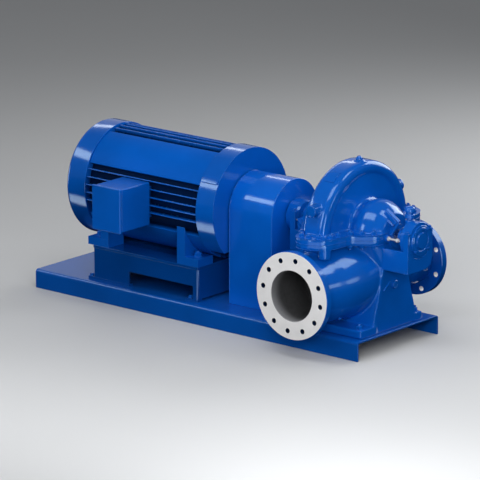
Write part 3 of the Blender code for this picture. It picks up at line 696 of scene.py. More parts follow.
def build_base():
    lo, hi = BASE_LO - SHIFT, BASE_HI - SHIFT
    wall, fold, high = 0.008, 0.014, hi.z   # plate thickness, outer radius of the bend, height
    outer = [(hi.y, 0.0)] + arc(hi.y - fold, high - fold, fold, 0.0, math.pi / 2, 10)
    inner = arc(hi.y - fold, high - fold, fold - wall, math.pi / 2, 0.0, 10) + [(hi.y - wall, 0.0)]
    outline = outer + [(-a, b) for a, b in reversed(outer)] + [(-a, b) for a, b in reversed(inner)] + inner
    mesh = eased(joined(pulled(outline, lo.x, hi.x, "X")), settings().base.edge)
    piece("baseplate", mesh, finish("base_enamel"), "base_paint", "base_plate")


def build_riser():
    edge, bend = settings().base.edge, settings().base.bend
    for node in ("riser_front_rail", "riser_rear_rail", "riser_end_plate_fan_side", "riser_end_plate_pump_side",
                 "riser_top_plate"):
        bm = cad_copy(node)
        if node.endswith("rail"):
            far = max(abs(v.co.y) for v in bm.verts if v.co.z > RISER_LIP)
            corners = [e for e in bm.edges if abs(abs(e.verts[0].co.y) - far) < 1e-4
                       and abs(e.verts[0].co.z - e.verts[1].co.z) > 0.05
                       and min(abs(e.verts[0].co.x - x) for x in (RISER_LO, RISER_HI)) < 1e-3]
            bmesh.ops.bevel(bm, geom=corners, offset=bend, segments=5, affect="EDGES", profile=0.5)
        piece(node + "_plate", eased(joined(bm), edge), finish("riser_enamel"), "base_paint", node)
    points = [((x, side * y, 0.0963), (0, 0, 1), settings().base.screw) for side in (-1, 1)
              for x, y in ((-0.632, 0.225), (-0.425, 0.222), (-0.055, 0.222))]
    grown("riser_screws", hex_tree, points, "base_enamel", "base_paint", Stud_length=0.05)


# motor

def rib_angles():
    """Angles of the cooling ribs round the frame."""
    angles = []
    for side in range(4):
        offsets = (-2, -1, 0, 1, 2) if side % 2 == 0 else (-1.5, -0.5, 0.5, 1.5)
        raised = (RIB_RAISE, 0, -RIB_RAISE, 0)[side]
        angles += [side * math.pi / 2 + (k + raised) * RIB_PITCH for k in offsets]
    return angles


def build_motor_frame():
    shown = settings().motor
    x0, x1 = FRAME_LO.x, FRAME_HI.x
    root = BODY_R - 0.004               # the ribs start a little inside the body
    core = [turned(((x0, BODY_R), (x1, BODY_R)), (0, 0, AXIS_Z), "X", 128)]
    for side in range(4):
        start = side * math.pi / 2 + (PANEL_FROM if side % 2 == 0 else math.pi / 2 - PANEL_TO)
        end = side * math.pi / 2 + (PANEL_TO if side % 2 == 0 else math.pi / 2 - PANEL_FROM)
        outline = arc(0, AXIS_Z, RIB_R, start, end, 16) + arc(0, AXIS_Z, BODY_R - 0.01, end, start, 16)
        core.append(pulled(outline, x0, x1, "X"))
    core.append(block((-0.405, -0.280), (BOX_HI.y + CLEAR, -BODY_R + 0.03), (0.425, 0.565)))
    mesh = eased(joined(*core), 0.002)
    piece("motor_frame_core", mesh, finish("frame_enamel"), "motor_paint", "motor_frame")
    points = [(((x0 + x1) / 2, root * math.cos(a), AXIS_Z + root * math.sin(a)), (0, math.cos(a), math.sin(a)), 1.0)
              for a in rib_angles()]
    grown("motor_frame_ribs", rib_tree, points, "rib_enamel", "motor_paint", "motor_frame",
          Length=x1 - x0 - 0.002, Thickness=shown.rib, Height=RIB_R - root)


def build_fan_cover():
    shown = settings().motor
    x0, x1, radius = COVER_LO.x, COVER_HI.x, END_R
    mouth_r, hub_r, depth, corner, spoke_count = 0.190, 0.055, 0.022, 0.018, 8
    rim = arc(x0 + corner, radius - corner, corner, math.pi, math.pi / 2, 8)
    profile = [(x0, mouth_r + 0.004)] + rim + [(x1 - 0.002, radius), (x1, radius - 0.002), (x1, 0.03),
                                             (x0 + depth, 0.03), (x0 + depth, mouth_r), (x0 + 0.004, mouth_r)]
    shell = turned(profile, (0, 0, AXIS_Z), "X", 128, hollow=True)
    piece("fan_cover_shell", joined(shell), finish("cover_enamel"), "motor_paint", "motor_fan_cover")
    floor = ((x0 + depth - 0.003, mouth_r + 0.001), (x0 + depth + 0.004, mouth_r + 0.001))
    back = turned(floor, (0, 0, AXIS_Z), "X", 64)
    piece("fan_cover_shadow", joined(back), finish("grille_shadow"), "motor_paint", "motor_fan_cover")
    bars = 11
    points = [((x0 + 0.004, 0, AXIS_Z), (1, 0, 0), hub_r + (mouth_r - hub_r) * (i + 1) / (bars + 1))
              for i in range(bars)]
    grown("fan_cover_grille", grille_tree, points, "cover_enamel", "motor_paint", "motor_fan_cover",
          Bar=shown.grille_bar)
    spokes = [turned(((x0 + 0.001, hub_r), (x0 + 0.008, hub_r)), (0, 0, AXIS_Z), "X", 48)]
    for k in range(spoke_count):
        spoke = block((x0 + 0.0035, x0 + 0.0095), (-0.004, 0.004), (hub_r - 0.01, mouth_r + 0.006))
        angle = (k + 0.5) * 2 * math.pi / spoke_count
        turn = Matrix.Translation((0, 0, AXIS_Z)) @ Matrix.Rotation(angle, 4, "X")
        bmesh.ops.transform(spoke, matrix=turn, verts=spoke.verts[:])
        spokes.append(spoke)
    piece("fan_cover_spokes", eased(joined(*spokes), 0.001), finish("cover_enamel"), "motor_paint",
          "motor_fan_cover")


def build_shield():
    edge = settings().motor.edge
    x0, x1, radius = SHIELD_LO.x, SHIELD_HI.x, END_R
    shield = joined(turned(((x0, radius), (x1, radius)), (0, 0, AXIS_Z), "X", 160))
    shield = cut(shield, joined(block((x0 - 0.01, x1 + 0.01), (-0.3, 0.3), (0.1, SHIELD_LO.z))), solver="EXACT")
    piece("drive_end_shield", eased(shield, edge, 3), finish("cover_enamel"), "motor_paint",
          "motor_drive_end_shield")
    piece("shield_pad", eased(joined(cad_copy("motor_shield_lug")), 0.002), finish("cover_enamel"),
          "motor_paint", "motor_shield_lug")


def build_terminal_box():
    lo, hi = BOX_LO, BOX_HI
    lid = 0.014                         # depth of the cover at the front of the box
    body = block((lo.x + 0.004, hi.x - 0.004), (lo.y + lid + 0.003, hi.y), (lo.z + 0.004, hi.z - 0.004))
    seal = block((lo.x + 0.008, hi.x - 0.008), (lo.y + 0.008, lo.y + lid + 0.006), (lo.z + 0.008, hi.z - 0.008))
    cover = block((lo.x, hi.x), (lo.y, lo.y + lid), (lo.z, hi.z))
    mesh = eased(joined(body, seal, cover), 0.005, 3)
    piece("terminal_box_case", mesh, finish("motor_enamel"), "motor_paint", "motor_terminal_box")


def build_motor_feet():
    for end in ("fan_end", "drive_end"):
        for side in ("front", "rear"):
            node = f"motor_foot_{side}_{end}"
            piece(node + "_casting", eased(joined(cad_copy(node)), 0.004, 3), finish("motor_enamel"), "motor_paint",
                  node)
    points = [((x, side * 0.190, 0.279), (0, 0, 1), settings().motor.screw) for x in (-0.610, -0.040)
              for side in (-1, 1)]
    grown("motor_foot_screws", hex_tree, points, "motor_enamel", "motor_paint", Stud_length=0.35)


# coupling guard

def guard_outline(radius, floor, steps=64):
    return [(-radius, floor)] + arc(0, AXIS_Z, radius, math.pi, 0.0, steps) + [(radius, floor)]


def build_guard():
    radius, floor = GUARD_HI.y, GUARD_LO.z
    hood = pulled(guard_outline(radius, floor), GUARD_LO.x, GUARD_HI.x, "X")
    piece("guard_hood_sheet", eased(joined(hood), 0.0012), finish("guard_enamel"), "guard_paint",
          "coupling_guard_hood")
    for node in ("coupling_guard_motor_plate", "coupling_guard_pump_plate"):
        lo, hi = node_box(node)
        plate = pulled(guard_outline(radius, floor), lo.x, hi.x, "X")
        piece(node + "_sheet", eased(joined(plate), 0.0012), finish("guard_enamel"), "guard_paint", node)


# pump casing

def casing_profile():
    half = smooth_line(RIM, 5) + smooth_line(SIDE, 4) + smooth_line(DOME, 5)
    return [(-d, r) for d, r in reversed(half[1:])] + half


def split_outline():
    def rounded(points):
        return smooth_line(points, 4)
    rear = rounded(LOBE) + rounded(WAIST)
    front = [(x, -y) for x, y in reversed(rear)]
    inboard_front = [(x, -y) for x, y in rounded(LOBE_INBOARD)] + [(-x, -y) for x, y in rounded(WAIST)]
    inboard_rear = [(-x, y) for x, y in reversed(rear[1:])]
    return [(PUMP_X + x, y) for x, y in rear + front + inboard_front + inboard_rear]


def inset(outline, distance):
    """The outline moved inwards. It runs anticlockwise."""
    moved = []
    for before, at, after in zip(outline[-1:] + outline[:-1], outline, outline[1:] + outline[:1]):
        along = Vector((after[0] - before[0], after[1] - before[1])).normalized()
        moved.append((at[0] - along.y * distance, at[1] + along.x * distance))
    return moved


def split_plate(above):
    """Crisp flange plate of one casing half with round edges. The lower one stands a little proud."""
    z0, z1 = (AXIS_Z + 0.0008, AXIS_Z + SPLIT_T) if above else (AXIS_Z - SPLIT_T, AXIS_Z - 0.0008)
    setback = 0.0014 if above else 0.0001
    outline = split_outline()
    edge = arc(SPLIT_ROUND, z0 + SPLIT_ROUND, SPLIT_ROUND, -math.pi / 2, -math.pi, 4)
    edge += arc(SPLIT_ROUND, z1 - SPLIT_ROUND, SPLIT_ROUND, math.pi, math.pi / 2, 4)
    mesh = joined(rings([[(x, y, z) for x, y in inset(outline, setback + d)] for d, z in edge]))
    hole = joined(turned(((PUMP_X - 0.3, SHAFT_BORE_R), (PUMP_X + 0.3, SHAFT_BORE_R)), (0, 0, AXIS_Z), "X", 48))
    return cut(mesh, hole, solver="EXACT")


def with_plate(mesh, plate):
    """Both meshes as one."""
    bm = bmesh.new()
    bm.from_mesh(mesh)
    bm.from_mesh(plate)
    bm.to_mesh(mesh)
    bm.free()
    bpy.data.meshes.remove(plate)
    if mesh.has_custom_normals:
        mesh.attributes.remove(mesh.attributes["custom_normal"])
    return mesh


def body_of_casing():
    return turned(casing_profile(), (PUMP_X, 0, AXIS_Z), "X", 180)


def loft_nozzle(stations, steps=120):
    loops = []
    for y, z, a, b in smooth_line(stations, 5):
        loops.append([(PUMP_X + a * math.cos(t), y, z + b * math.sin(t))
                      for t in (2 * math.pi * i / steps for i in range(steps))])
    return rings(loops)


def half_space(above):
    far = 0.7
    z = (AXIS_Z + CLEAR / 2, AXIS_Z + far) if above else (AXIS_Z - far, AXIS_Z - CLEAR / 2)
    return joined(block((PUMP_X - far, PUMP_X + far), (-far, far), z))


def bored_for_shaft(mesh):
    for x in SHAFT_BORE_X:
        bore = turned(((x, SHAFT_BORE_R), (x + 0.05, SHAFT_BORE_R)), (0, 0, AXIS_Z), "X", 48)
        mesh = cut(mesh, joined(bore))
    return mesh


def build_upper_casing():
    grain = settings().pump.grain
    parts = [body_of_casing(), pulled(inset(split_outline(), 0.005), AXIS_Z - 0.02, AXIS_Z + SPLIT_T - 0.0005, "Z")]
    parts.append(turned(((AXIS_Z + 0.28, 0.022), (0.7995, 0.022)), (TOP_BOSS_X, 0, 0), "Z", 48))
    for side in (-1, 1):
        parts.append(turned(((side * 0.24, LUG_R), (side * 0.3075, LUG_R)), (PUMP_X, 0, LUG_Z), "Y", 48))
    mesh = cast(joined(*parts), grain, 5)
    mesh = cut(mesh, half_space(True), "INTERSECT")
    mesh = bored_for_shaft(mesh)
    mesh = with_plate(mesh, split_plate(True))
    for side in (-1, 1):
        end = turned(((side * 0.290, LUG_R), (side * 0.3070, LUG_R)), (PUMP_X, 0, LUG_Z), "Y", 48)
        mesh = with_plate(mesh, eased(joined(end), 0.0022, 3))
    piece("upper_casing_casting", mesh, finish("pump_enamel"), "pump_paint", "upper_casing")


def arm_outline(y, z0, z1, r):
    return [(-y, z1), (-y, z0)] + arc(y - r, z0 + r, r, -math.pi / 2, 0.0, 12) + [(y, z1)]


def bearing_arm(inner_x, post, bore_r):
    """The trough and the bored post that carry a bearing housing."""
    start, end = post
    arm = joined(pulled(arm_outline(ARM_Y, ARM_Z0, POST_TOP, ARM_CORNER), *sorted((inner_x, end)), "X"))
    past = inner_x - math.copysign(0.01, end - start)
    inside = arm_outline(ARM_Y - ARM_WALL, ARM_Z0 + ARM_WALL, POST_TOP + 0.1, ARM_CORNER - ARM_WALL)
    span = sorted((past, start))
    arm = cut(arm, joined(pulled(inside, *span, "X")), solver="EXACT")
    arm = cut(arm, joined(block(span, (-0.1, 0.1), (TROUGH_TOP, POST_TOP + 0.1))), solver="EXACT")
    bore = turned(((min(start, end) - 0.01, bore_r), (max(start, end) + 0.01, bore_r)), (0, 0, AXIS_Z), "X", 64)
    return cut(arm, joined(bore), solver="EXACT")


def build_lower_casing():
    grain = settings().pump.grain
    parts = [body_of_casing(), pulled(inset(split_outline(), 0.005), AXIS_Z - SPLIT_T + 0.0005, AXIS_Z + 0.02, "Z"),
             loft_nozzle(FRONT_NOZZLE), loft_nozzle(REAR_NOZZLE)]
    parts.append(turned(((0.432, 0.028), (0.49, 0.028)), (0.765, -0.309, 0), "Z", 48))
    stand = smooth_line(STAND, 3)
    outline = [(-0.148, FOOT_Z[0])] + [(-y, z) for y, z in stand] + [(y, z) for y, z in reversed(stand)]
    parts.append(pulled(outline + [(0.148, FOOT_Z[0])], *STAND_X, "X"))
    for y in ((FOOT_FRONT, -0.128), (0.128, FOOT_REAR)):
        parts.append(block(FOOT_X, y, FOOT_Z))
    for side in (-1, 1):
        loops = [[(PUMP_X + side * d, s * w, z) for s, w, z in ((-1, w1, z1), (-1, w0, z0), (1, w0, z0), (1, w1, z1))]
                 for d, w1, z1, w0, z0 in SHOULDER]
        parts.append(rings(loops))
    mesh = cast(joined(*parts), grain, 6)
    mesh = cut(mesh, half_space(False), "INTERSECT")
    mesh = bored_for_shaft(mesh)
    for y0, y1, r in ((-0.45, -0.431 + BORE_DEPTH, SUCTION_BORE), (0.433 - BORE_DEPTH, 0.45, DISCHARGE_BORE)):
        mesh = cut(mesh, joined(turned(((y0, r), (y1, r)), (PUMP_X, 0, NOZZLE_Z), "Y", 96)))
    mesh = with_plate(mesh, split_plate(False))
    obj = piece("lower_casing_casting", mesh, [finish("pump_enamel"), finish("bore_coat")], "pump_paint",
                "lower_casing")
    paint_bore(obj.data, ((-0.425, -0.15, SUCTION_BORE + 0.0015), (0.15, 0.425, DISCHARGE_BORE + 0.0015)))
    extras = joined(rod((0.9045, -0.079, 0.266), (0.9045, -0.036, 0.299), 0.0045),
                    rod((0.797, -0.246, 0.168), (0.802, -0.248, 0.158), 0.0085))
    piece("stand_details", eased(extras, 0.001), finish("pump_enamel"), "pump_paint", "lower_casing")
    for name, inner, post, bore in (("outboard", 0.875, OUTER_POST, OUTER_HOUSING_R + CLEAR),
                                    ("inboard", 0.495, INNER_POST, INNER_HOUSING_R + CLEAR)):
        arm = eased(bearing_arm(inner, post, bore), 0.003, 3)
        piece(f"{name}_bearing_arm", arm, finish("pump_enamel"), "pump_paint", "lower_casing")


def paint_bore(mesh, spans, index=1):
    """Gives the second material to the faces inside a nozzle bore. A span is (y from, y to, radius)."""
    for face in mesh.polygons:
        c = face.center - SHIFT
        away = math.hypot(c.x - PUMP_X, c.z - NOZZLE_Z)
        for y0, y1, r in spans:
            if y0 < c.y < y1 and away < r:
                face.material_index = index


# pipe flanges

# finish of a bolt hole's wall, as a place in the flange's list of materials; the dark one is painted shade
HOLE_BARE, HOLE_SHADE = 1, 3


def build_flange(name, node, face_y, bore, pitch_r, count, inward, hole_finish):
    lo, hi = node_box(node)
    radius = (hi.x - lo.x) / 2
    back_y = face_y + inward * (hi.y - lo.y)
    lip = 0.002
    profile = [(face_y, bore + lip), (face_y, radius - lip), (face_y + inward * lip, radius),
               (back_y - inward * lip, radius), (back_y, radius - lip), (back_y, bore),
               (face_y + inward * lip, bore)]
    ring = joined(turned(profile, (PUMP_X, 0, NOZZLE_Z), "Y", 144, hollow=True))
    holes = []
    for i in range(count):
        a = math.radians(22.5) + 2 * math.pi * i / count
        centre = (PUMP_X + pitch_r * math.cos(a), 0, NOZZLE_Z + pitch_r * math.sin(a))
        holes.append(turned(((lo.y - 0.01, BOLT_HOLE_R), (hi.y + 0.01, BOLT_HOLE_R)), centre, "Y", 32))
    mesh = cut(ring, joined(*holes), solver="EXACT")
    finishes = [finish(each) for each in ("flange_enamel", "machined_face", "bore_coat", "hole_shadow")]
    obj = piece(name, mesh, finishes, "flange_paint", node, angle=math.radians(30))
    for face in obj.data.polygons:
        c = face.center - SHIFT
        away = math.hypot(c.x - PUMP_X, c.z - NOZZLE_Z)
        if abs(c.y - face_y) < 1e-4:
            face.material_index = 1
        elif away < bore + lip:
            face.material_index = 2
        elif away < radius - 0.004 and abs(c.y - back_y) > 1e-4:
            face.material_index = hole_finish


def build_flanges():
    build_flange("suction_flange_ring", "suction_flange", SUCTION_LO.y, SUCTION_BORE, SUCTION_PITCH_R, 12, 1,
                 HOLE_SHADE)
    build_flange("discharge_flange_ring", "discharge_flange", DISCHARGE_HI.y, DISCHARGE_BORE, DISCHARGE_PITCH_R, 8,
                 -1, HOLE_BARE)


# bearings, glands and shaft

def build_bearings():
    outer = [(0.947, 0.031), (0.947, 0.043), (0.949, 0.045), (0.966, 0.045), (0.968, 0.050), (0.980, 0.052),
             (0.984, 0.058), (0.986, 0.076), (0.989, 0.079), (1.036, 0.079), (1.038, 0.077)]
    mesh = joined(turned(outer, (0, 0, AXIS_Z), "X", 96),
                  turned(((0.55, 0.021), (0.577, 0.021), (0.578, 0.020)), (BREATHER_X, 0, 0), "Z", 48))
    piece("outboard_housing_casting", mesh, finish("pump_enamel"), "pump_paint", "outboard_bearing_housing")
    inner = [(0.3565, 0.071), (0.3585, 0.073), (0.408, 0.073), (0.411, 0.0725), (0.4195, 0.0675), (0.420, 0.066),
             (0.420, 0.045), (0.431, 0.045), (0.432, 0.044)]
    piece("inboard_housing_casting", joined(turned(inner, (0, 0, AXIS_Z), "X", 96)), finish("pump_enamel"),
          "pump_paint", "inboard_bearing_housing")
    x = POST_END
    cover = [(x, 0.066), (x + 0.005, 0.066), (x + 0.0065, 0.0645), (x + 0.0065, 0.057), (x + 0.0085, 0.055),
             (x + 0.0085, 0.046), (x + 0.0055, 0.044), (x + 0.0055, 0.036), (x + 0.0118, 0.033), (x + 0.0118, 0.012)]
    piece("outboard_end_cover", joined(turned(cover, (0, 0, AXIS_Z), "X", 96)), finish("pump_enamel"), "pump_paint",
          "outboard_bearing_cover", angle=math.radians(30))
    points = []
    for k in range(4):
        a = math.pi / 4 + k * math.pi / 2
        points.append(((x + 0.0065, 0.0605 * math.cos(a), AXIS_Z + 0.0605 * math.sin(a)), (1, 0, 0), 0.0062))
    for y in (-0.078, 0.078):
        points.append(((1.025, y, POST_TOP), (0, 0, 1), 0.010))
        points.append(((0.406, y, POST_TOP), (0, 0, 1), 0.010))
    grown("bearing_cap_screws", hex_tree, points, "pump_enamel", "pump_paint", Stud_length=0.05)


def build_shaft():
    for node in ("pump_shaft_inboard", "pump_shaft_outboard"):
        lo, hi = node_box(node)
        profile = ((lo.x, 0.029), (lo.x + 0.001, 0.030), (hi.x - 0.001, 0.030), (hi.x, 0.029))
        piece(node + "_bar", joined(turned(profile, (0, 0, AXIS_Z), "X", 64)), finish("shaft_steel"), "steel", node)


def build_glands():
    points = []
    for node, outward in (("inboard_gland", -1), ("outboard_gland", 1)):
        piece(node + "_plate", eased(joined(cad_copy(node)), 0.002, 2), finish("pump_enamel"), "pump_paint", node)
        lo, hi = node_box(node)
        x = hi.x if outward > 0 else lo.x
        for y in (-GLAND_STUD_Y, GLAND_STUD_Y):
            points.append(((x, y, AXIS_Z), (outward, 0, 0), settings().pump.gland_stud))
    far = [((x + d[0] * 0.045, y, z), d, size) for (x, y, z), d, size in points]
    grown("gland_nuts", hex_tree, points, "zinc", "steel", Head_height=0.55, Stud_length=5.2)
    grown("gland_lock_nuts", hex_tree, far, "zinc", "steel", Washer_height=0.3, Stud_length=0.8)
    build_flush_line()


def rod(start, end, radius, steps=16):
    """A round bar between two points."""
    start, end = Vector(start), Vector(end)
    bar = turned(((0.0, radius), ((end - start).length, radius)), (0, 0, 0), "X", steps)
    turn = Vector((1, 0, 0)).rotation_difference(end - start).to_matrix().to_4x4()
    bmesh.ops.transform(bar, matrix=Matrix.Translation(start) @ turn, verts=bar.verts[:])
    return bar


def build_flush_line():
    """The bent bar from the dome down to the outboard gland."""
    upper = [rod((0.872, -0.052, 0.590), (0.930, -0.052, 0.5525), 0.0045),
             rod((0.890, -0.043, 0.616), (0.957, -0.043, 0.5715), 0.0075)]
    side = ((0.876, 0.600), (0.938, 0.556), (0.950, 0.570), (0.892, 0.610))
    web = rings([[(x, y, z) for x, z in side] for y in (-0.045, -0.051)])
    lower = rod((0.955, -0.045, 0.568), (0.917, -0.047, 0.5095), 0.0062)
    piece("flush_line", eased(joined(*upper, web, lower), 0.0012), finish("pump_enamel"), "pump_paint",
          "upper_casing")


def build_plugs():
    mat = finish("pump_enamel")
    z = node_box("bearing_breather")[0].z
    vent = [(z, 0.012), (z, 0.0135), (z + 0.007, 0.0135), (z + 0.008, 0.019), (z + 0.010, 0.021), (z + 0.022, 0.021),
            (z + 0.024, 0.019), (z + 0.025, 0.0165), (z + 0.032, 0.0165), (z + 0.034, 0.020), (z + 0.036, 0.0218),
            (z + 0.050, 0.0215), (z + 0.054, 0.019), (z + 0.0575, 0.014), (z + 0.0597, 0.006)]
    piece("breather_cap", joined(turned(vent, (BREATHER_X, 0, 0), "Z", 48)), mat, "pump_paint", "bearing_breather")
    z = node_box("casing_top_plug")[0].z
    plug = [(z, 0.012), (z, 0.0155), (z + 0.005, 0.0152), (z + 0.007, 0.012), (z + 0.010, 0.009), (z + 0.0135, 0.0065),
            (z + 0.0138, 0.003)]
    piece("vent_plug", joined(turned(plug, (TOP_BOSS_X, 0, 0), "Z", 48)), mat, "pump_paint", "casing_top_plug")
    x = node_box("casing_drain_plug")[0].x
    drain = [(x, 0.010), (x, 0.0188), (x + 0.007, 0.0188), (x + 0.009, 0.0172), (x + 0.009, 0.0115),
             (x + 0.0085, 0.011), (x + 0.0085, 0.004)]
    piece("drain_plug_cap", joined(turned(drain, (0, -0.005, 0.281), "X", 48)), mat, "pump_paint",
          "casing_drain_plug")
    piece("blank_plate", eased(joined(cad_copy("casing_nameplate")), 0.0008), mat, "steel", "casing_nameplate")


def split_bolt_places():
    """Places of the nuts round the split flange, a little inside its edge, as (x, y)."""
    front = [(0.020, -0.343), (0.062, -0.327), (0.094, -0.290), (0.100, -0.243), (-0.020, -0.340), (-0.050, -0.305),
             (0.122, -0.188), (0.158, -0.150), (0.196, -0.121), (-0.122, -0.188)]
    rear = [(x, -y) for x, y in front[:4]] + [(-x, -y) for x, y in front[:4]]
    rear += [(x, -y) for x, y in front[6:]] + [(-0.158, 0.150), (-0.196, 0.121)]
    return [(PUMP_X + x, y) for x, y in front + rear]


def build_pump_fasteners():
    size = settings().pump
    points = [((x, y, AXIS_Z + SPLIT_T - 0.001), (0, 0, 1), size.flange_nut) for x, y in split_bolt_places()]
    points += [((x, y, AXIS_Z - SPLIT_T + 0.001), (0, 0, -1), size.flange_nut) for x, y in split_bolt_places()
               if abs(x - PUMP_X) > 0.1]
    grown("split_flange_nuts", hex_tree, points, "pump_enamel", "pump_paint", Stud_length=0.5)
    feet = [((x, y, FOOT_Z[1] - 0.001), (0, 0, 1), size.foot_bolt) for x in (0.490, 0.880) for y in (-0.212, 0.166)]
    grown("pump_foot_bolts", hex_tree, feet, "pump_enamel", "pump_paint", Stud_length=0.5)


# stage

CAMERA_PLACE = Vector((11.6866, -13.9066, 5.1575))
CAMERA_AXES = ((0.7667, 0.6421, 0.0), (-0.1652, 0.1972, 0.9663), (0.6204, -0.7408, 0.2573))


# (name, place, aim, width and height, radiance, what it gives: diffuse light, shine in reflections, or both)
LAMPS = (("key", (0.6, -1.5, 3.3), (0.3, -0.1, 0.5), (2.2, 1.3), 3.4, "both"),
         ("top_right", (1.95, 0.48, 3.0), (0.7, -0.2, 0.5), (1.0, 1.1), 4.0, "both"),
         ("left", (-3.2, -2.45, 2.9), (-0.2, 0.0, 0.5), (2.8, 0.75), 5.0, "both"),
         ("back_left", (-2.7, 2.25, 2.75), (-0.2, 0.0, 0.5), (2.4, 0.35), 4.0, "both"),
         ("back_right", (1.3, 4.1, 2.2), (0.7, 0.0, 0.5), (3.2, 2.6), 4.5, "both"),
         ("front_left", (0.25, -3.6, 1.7), (0.65, -0.3, 0.6), (0.9, 1.7), 5.0, "shine"),
         ("front_right", (3.6, -2.15, 0.85), (0.65, -0.3, 0.6), (0.8, 1.4), 5.0, "shine"),
         ("right", (4.5, 0.4, 1.4), (0.65, -0.3, 0.6), (1.2, 0.7), 2.5, "both"),
         ("low_left", (-2.6, -1.0, 0.5), (0.65, -0.3, 0.5), (0.5, 0.8), 4.0, "shine"),
         ("fill", (-0.2, -2.6, 1.1), (0.0, -0.1, 0.5), (1.4, 0.7), 4.0, "light"),
         ("pump_fill", (2.3, -2.0, 1.2), (0.7, -0.2, 0.45), (1.2, 0.8), 12.0, "light"))
BACKDROP_AZIMUTH = math.radians(132)
GLOSSY_DIMMING = 0.08               # how much darker the surroundings are in reflections
# patches of the surroundings that only reflections see, as (azimuth, height, half width in degrees, radiance)
REFLECTORS = ((-142, -33, 6, 3.5), (-35, -10, 8, 3.0), (-168, -4, 6, 3.0), (-55, -14, 9, 1.0), (-75, -14, 9, 1.0),
              (-95, -14, 9, 1.0))


def build_world():
    """Pale to the camera. To reflections and bounces it is a pale backdrop behind the set and dim elsewhere."""
    world = bpy.data.worlds.new("studio")
    world.use_nodes = True
    tree = world.node_tree
    back = (math.cos(BACKDROP_AZIMUTH), math.sin(BACKDROP_AZIMUTH), 0.0)
    ray = add(tree, "ShaderNodeTexCoord").outputs["Generated"]
    path = add(tree, "ShaderNodeLightPath").outputs
    behind = remap(tree, vectors(tree, "DOT_PRODUCT", ray, back, output="Value"), 0.55, 0.85, 0.16, 0.55,
                   interpolation_type="SMOOTHSTEP")
    height = add(tree, "ShaderNodeSeparateXYZ", {0: ray}).outputs["Z"]
    level = maths(tree, "MULTIPLY", behind, remap(tree, height, -0.05, 0.02, 0.15, 1.0))
    level = maths(tree, "MULTIPLY_ADD", path["Is Glossy Ray"], -GLOSSY_DIMMING, level)
    level = maths(tree, "MAXIMUM", level, 0.0)
    for azimuth, rise, half, radiance in REFLECTORS:
        azimuth, rise = math.radians(azimuth), math.radians(rise)
        aim = (math.cos(rise) * math.cos(azimuth), math.cos(rise) * math.sin(azimuth), math.sin(rise))
        near = vectors(tree, "DOT_PRODUCT", ray, aim, output="Value")
        patch = remap(tree, near, math.cos(math.radians(half * 1.4)), math.cos(math.radians(half)), 0.0, radiance)
        level = maths(tree, "ADD", level, maths(tree, "MULTIPLY", patch, path["Is Glossy Ray"]))
    strength = add(tree, "ShaderNodeMix", {"Factor": path["Is Camera Ray"], "A": level, "B": 0.82},
                   data_type="FLOAT")
    sky = tree.nodes["Background"]
    sky.inputs["Color"].default_value = (0.95, 0.97, 1.0, 1.0)
    tree.links.new(strength.outputs["Result"], sky.inputs["Strength"])
    bpy.context.scene.world = world


def build_stage():
    shown = settings().stage
    scene = bpy.context.scene
    right, up, back = (Vector(v).normalized() for v in CAMERA_AXES)
    data = bpy.data.cameras.new("camera")
    data.lens, data.sensor_width = 320.3, 36.0
    data.clip_end = 100.0
    camera = bpy.data.objects.new("camera", data)
    turn = Matrix((right, up, back)).transposed().to_4x4()
    camera.matrix_world = Matrix.Translation(CAMERA_PLACE + SHIFT) @ turn
    scene.collection.objects.link(camera)
    scene.camera = camera

    mat, tree, shader = new_material("floor")
    cloud = noise(tree, object_place(tree), 1.5, 4.0)
    tree.links.new(blend(tree, cloud, rgba(shown.floor, 0.98), rgba(shown.floor)), shader.inputs["Base Color"])
    shader.inputs["Roughness"].default_value = 0.7
    bm = bmesh.new()
    corners = [bm.verts.new((x, y, -0.0005)) for x, y in ((-30, -30), (30, -30), (30, 30), (-30, 30))]
    bm.faces.new(corners)
    floor = bpy.data.objects.new("floor", joined(bm))
    floor.data.materials.append(mat)
    scene.collection.objects.link(floor)

    floor.visible_glossy = False
    floor.visible_diffuse = False
    build_world()
    for name, place, aim, size, radiance, gives in LAMPS:
        lamp = bpy.data.lights.new(name, "AREA")
        lamp.shape = "RECTANGLE"
        lamp.size, lamp.size_y = size
        lamp.energy = math.pi * size[0] * size[1] * radiance * shown.power
        obj = bpy.data.objects.new(name, lamp)
        obj.visible_diffuse = gives != "shine"
        obj.visible_glossy = gives != "light"
        away = Vector(place) - Vector(aim)
        obj.matrix_world = Matrix.Translation(place) @ away.to_track_quat("Z", "Y").to_matrix().to_4x4()
        scene.collection.objects.link(obj)
    scene.view_settings.view_transform = "Standard"


# operators and panel

def operator(idname, label, text, *builders):
    """An operator class that runs the builders."""
    def execute(self, context):
        for build in builders:
            build()
        return {"FINISHED"}
    name = "PUMPSET_OT_" + idname
    return type(name, (bpy.types.Operator,), {"__doc__": text, "bl_idname": "pump_set." + idname, "bl_label": label,
                                              "bl_options": {"REGISTER", "UNDO"}, "execute": execute})


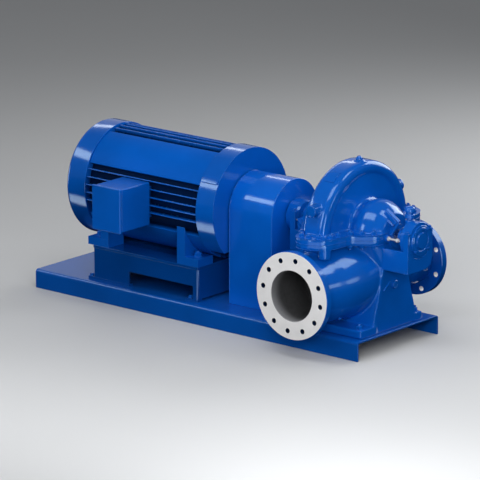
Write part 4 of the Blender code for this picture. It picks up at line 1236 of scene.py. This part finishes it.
OPERATORS = [
    operator("base", "Baseplate", "Build the bent baseplate", build_base),
    operator("riser", "Riser", "Build the riser under the motor", build_riser),
    operator("motor_frame", "Motor frame", "Build the motor frame and its cooling ribs", build_motor_frame),
    operator("fan_cover", "Fan cover", "Build the fan cover and its grille", build_fan_cover),
    operator("shield", "Drive end shield", "Build the drive end shield", build_shield),
    operator("terminal_box", "Terminal box", "Build the terminal box", build_terminal_box),
    operator("motor_feet", "Motor feet", "Build the motor feet and their screws", build_motor_feet),
    operator("guard", "Coupling guard", "Build the coupling guard", build_guard),
    operator("upper_casing", "Upper casing", "Build the upper pump casing", build_upper_casing),
    operator("lower_casing", "Lower casing", "Build the lower pump casing and the bearing arms", build_lower_casing),
    operator("flanges", "Pipe flanges", "Build both pipe flanges", build_flanges),
    operator("bearings", "Bearings", "Build the bearing housings and the end cover", build_bearings),
    operator("shaft", "Shaft", "Build the shaft pieces that show", build_shaft),
    operator("glands", "Glands", "Build the gland plates and their nuts", build_glands),
    operator("plugs", "Plugs", "Build the breather, the plugs and the blank plate", build_plugs),
    operator("fasteners", "Pump fasteners", "Build the nuts and bolts of the pump", build_pump_fasteners),
    operator("stage", "Stage", "Build the floor, the lights and the camera", build_stage),
]


class PUMPSET_PT_panel(bpy.types.Panel):
    """Lists the builders of the pump set."""
    bl_idname = "PUMPSET_PT_panel"
    bl_label = "Pump set"
    bl_space_type = "VIEW_3D"
    bl_region_type = "UI"
    bl_category = "Pump set"

    def draw(self, context):
        shown = context.scene.pump_set
        for part in (shown.finish, shown.base, shown.motor, shown.pump, shown.stage):
            box = self.layout.box()
            for key in part.__annotations__:
                box.prop(part, key)
        for made in OPERATORS:
            self.layout.operator(made.bl_idname)


CLASSES = [FinishSettings, BaseSettings, MotorSettings, PumpSettings, StageSettings, PumpSet, *OPERATORS,
           PUMPSET_PT_panel]


def register():
    for cls in CLASSES:
        bpy.utils.register_class(cls)
    bpy.types.Scene.pump_set = bpy.props.PointerProperty(type=PumpSet)


def unregister():
    del bpy.types.Scene.pump_set
    for cls in reversed(CLASSES):
        bpy.utils.unregister_class(cls)


def main():
    register()
    for made in OPERATORS:
        getattr(bpy.ops.pump_set, made.bl_idname.split(".")[1])()


if __name__ == "__main__":
    main()
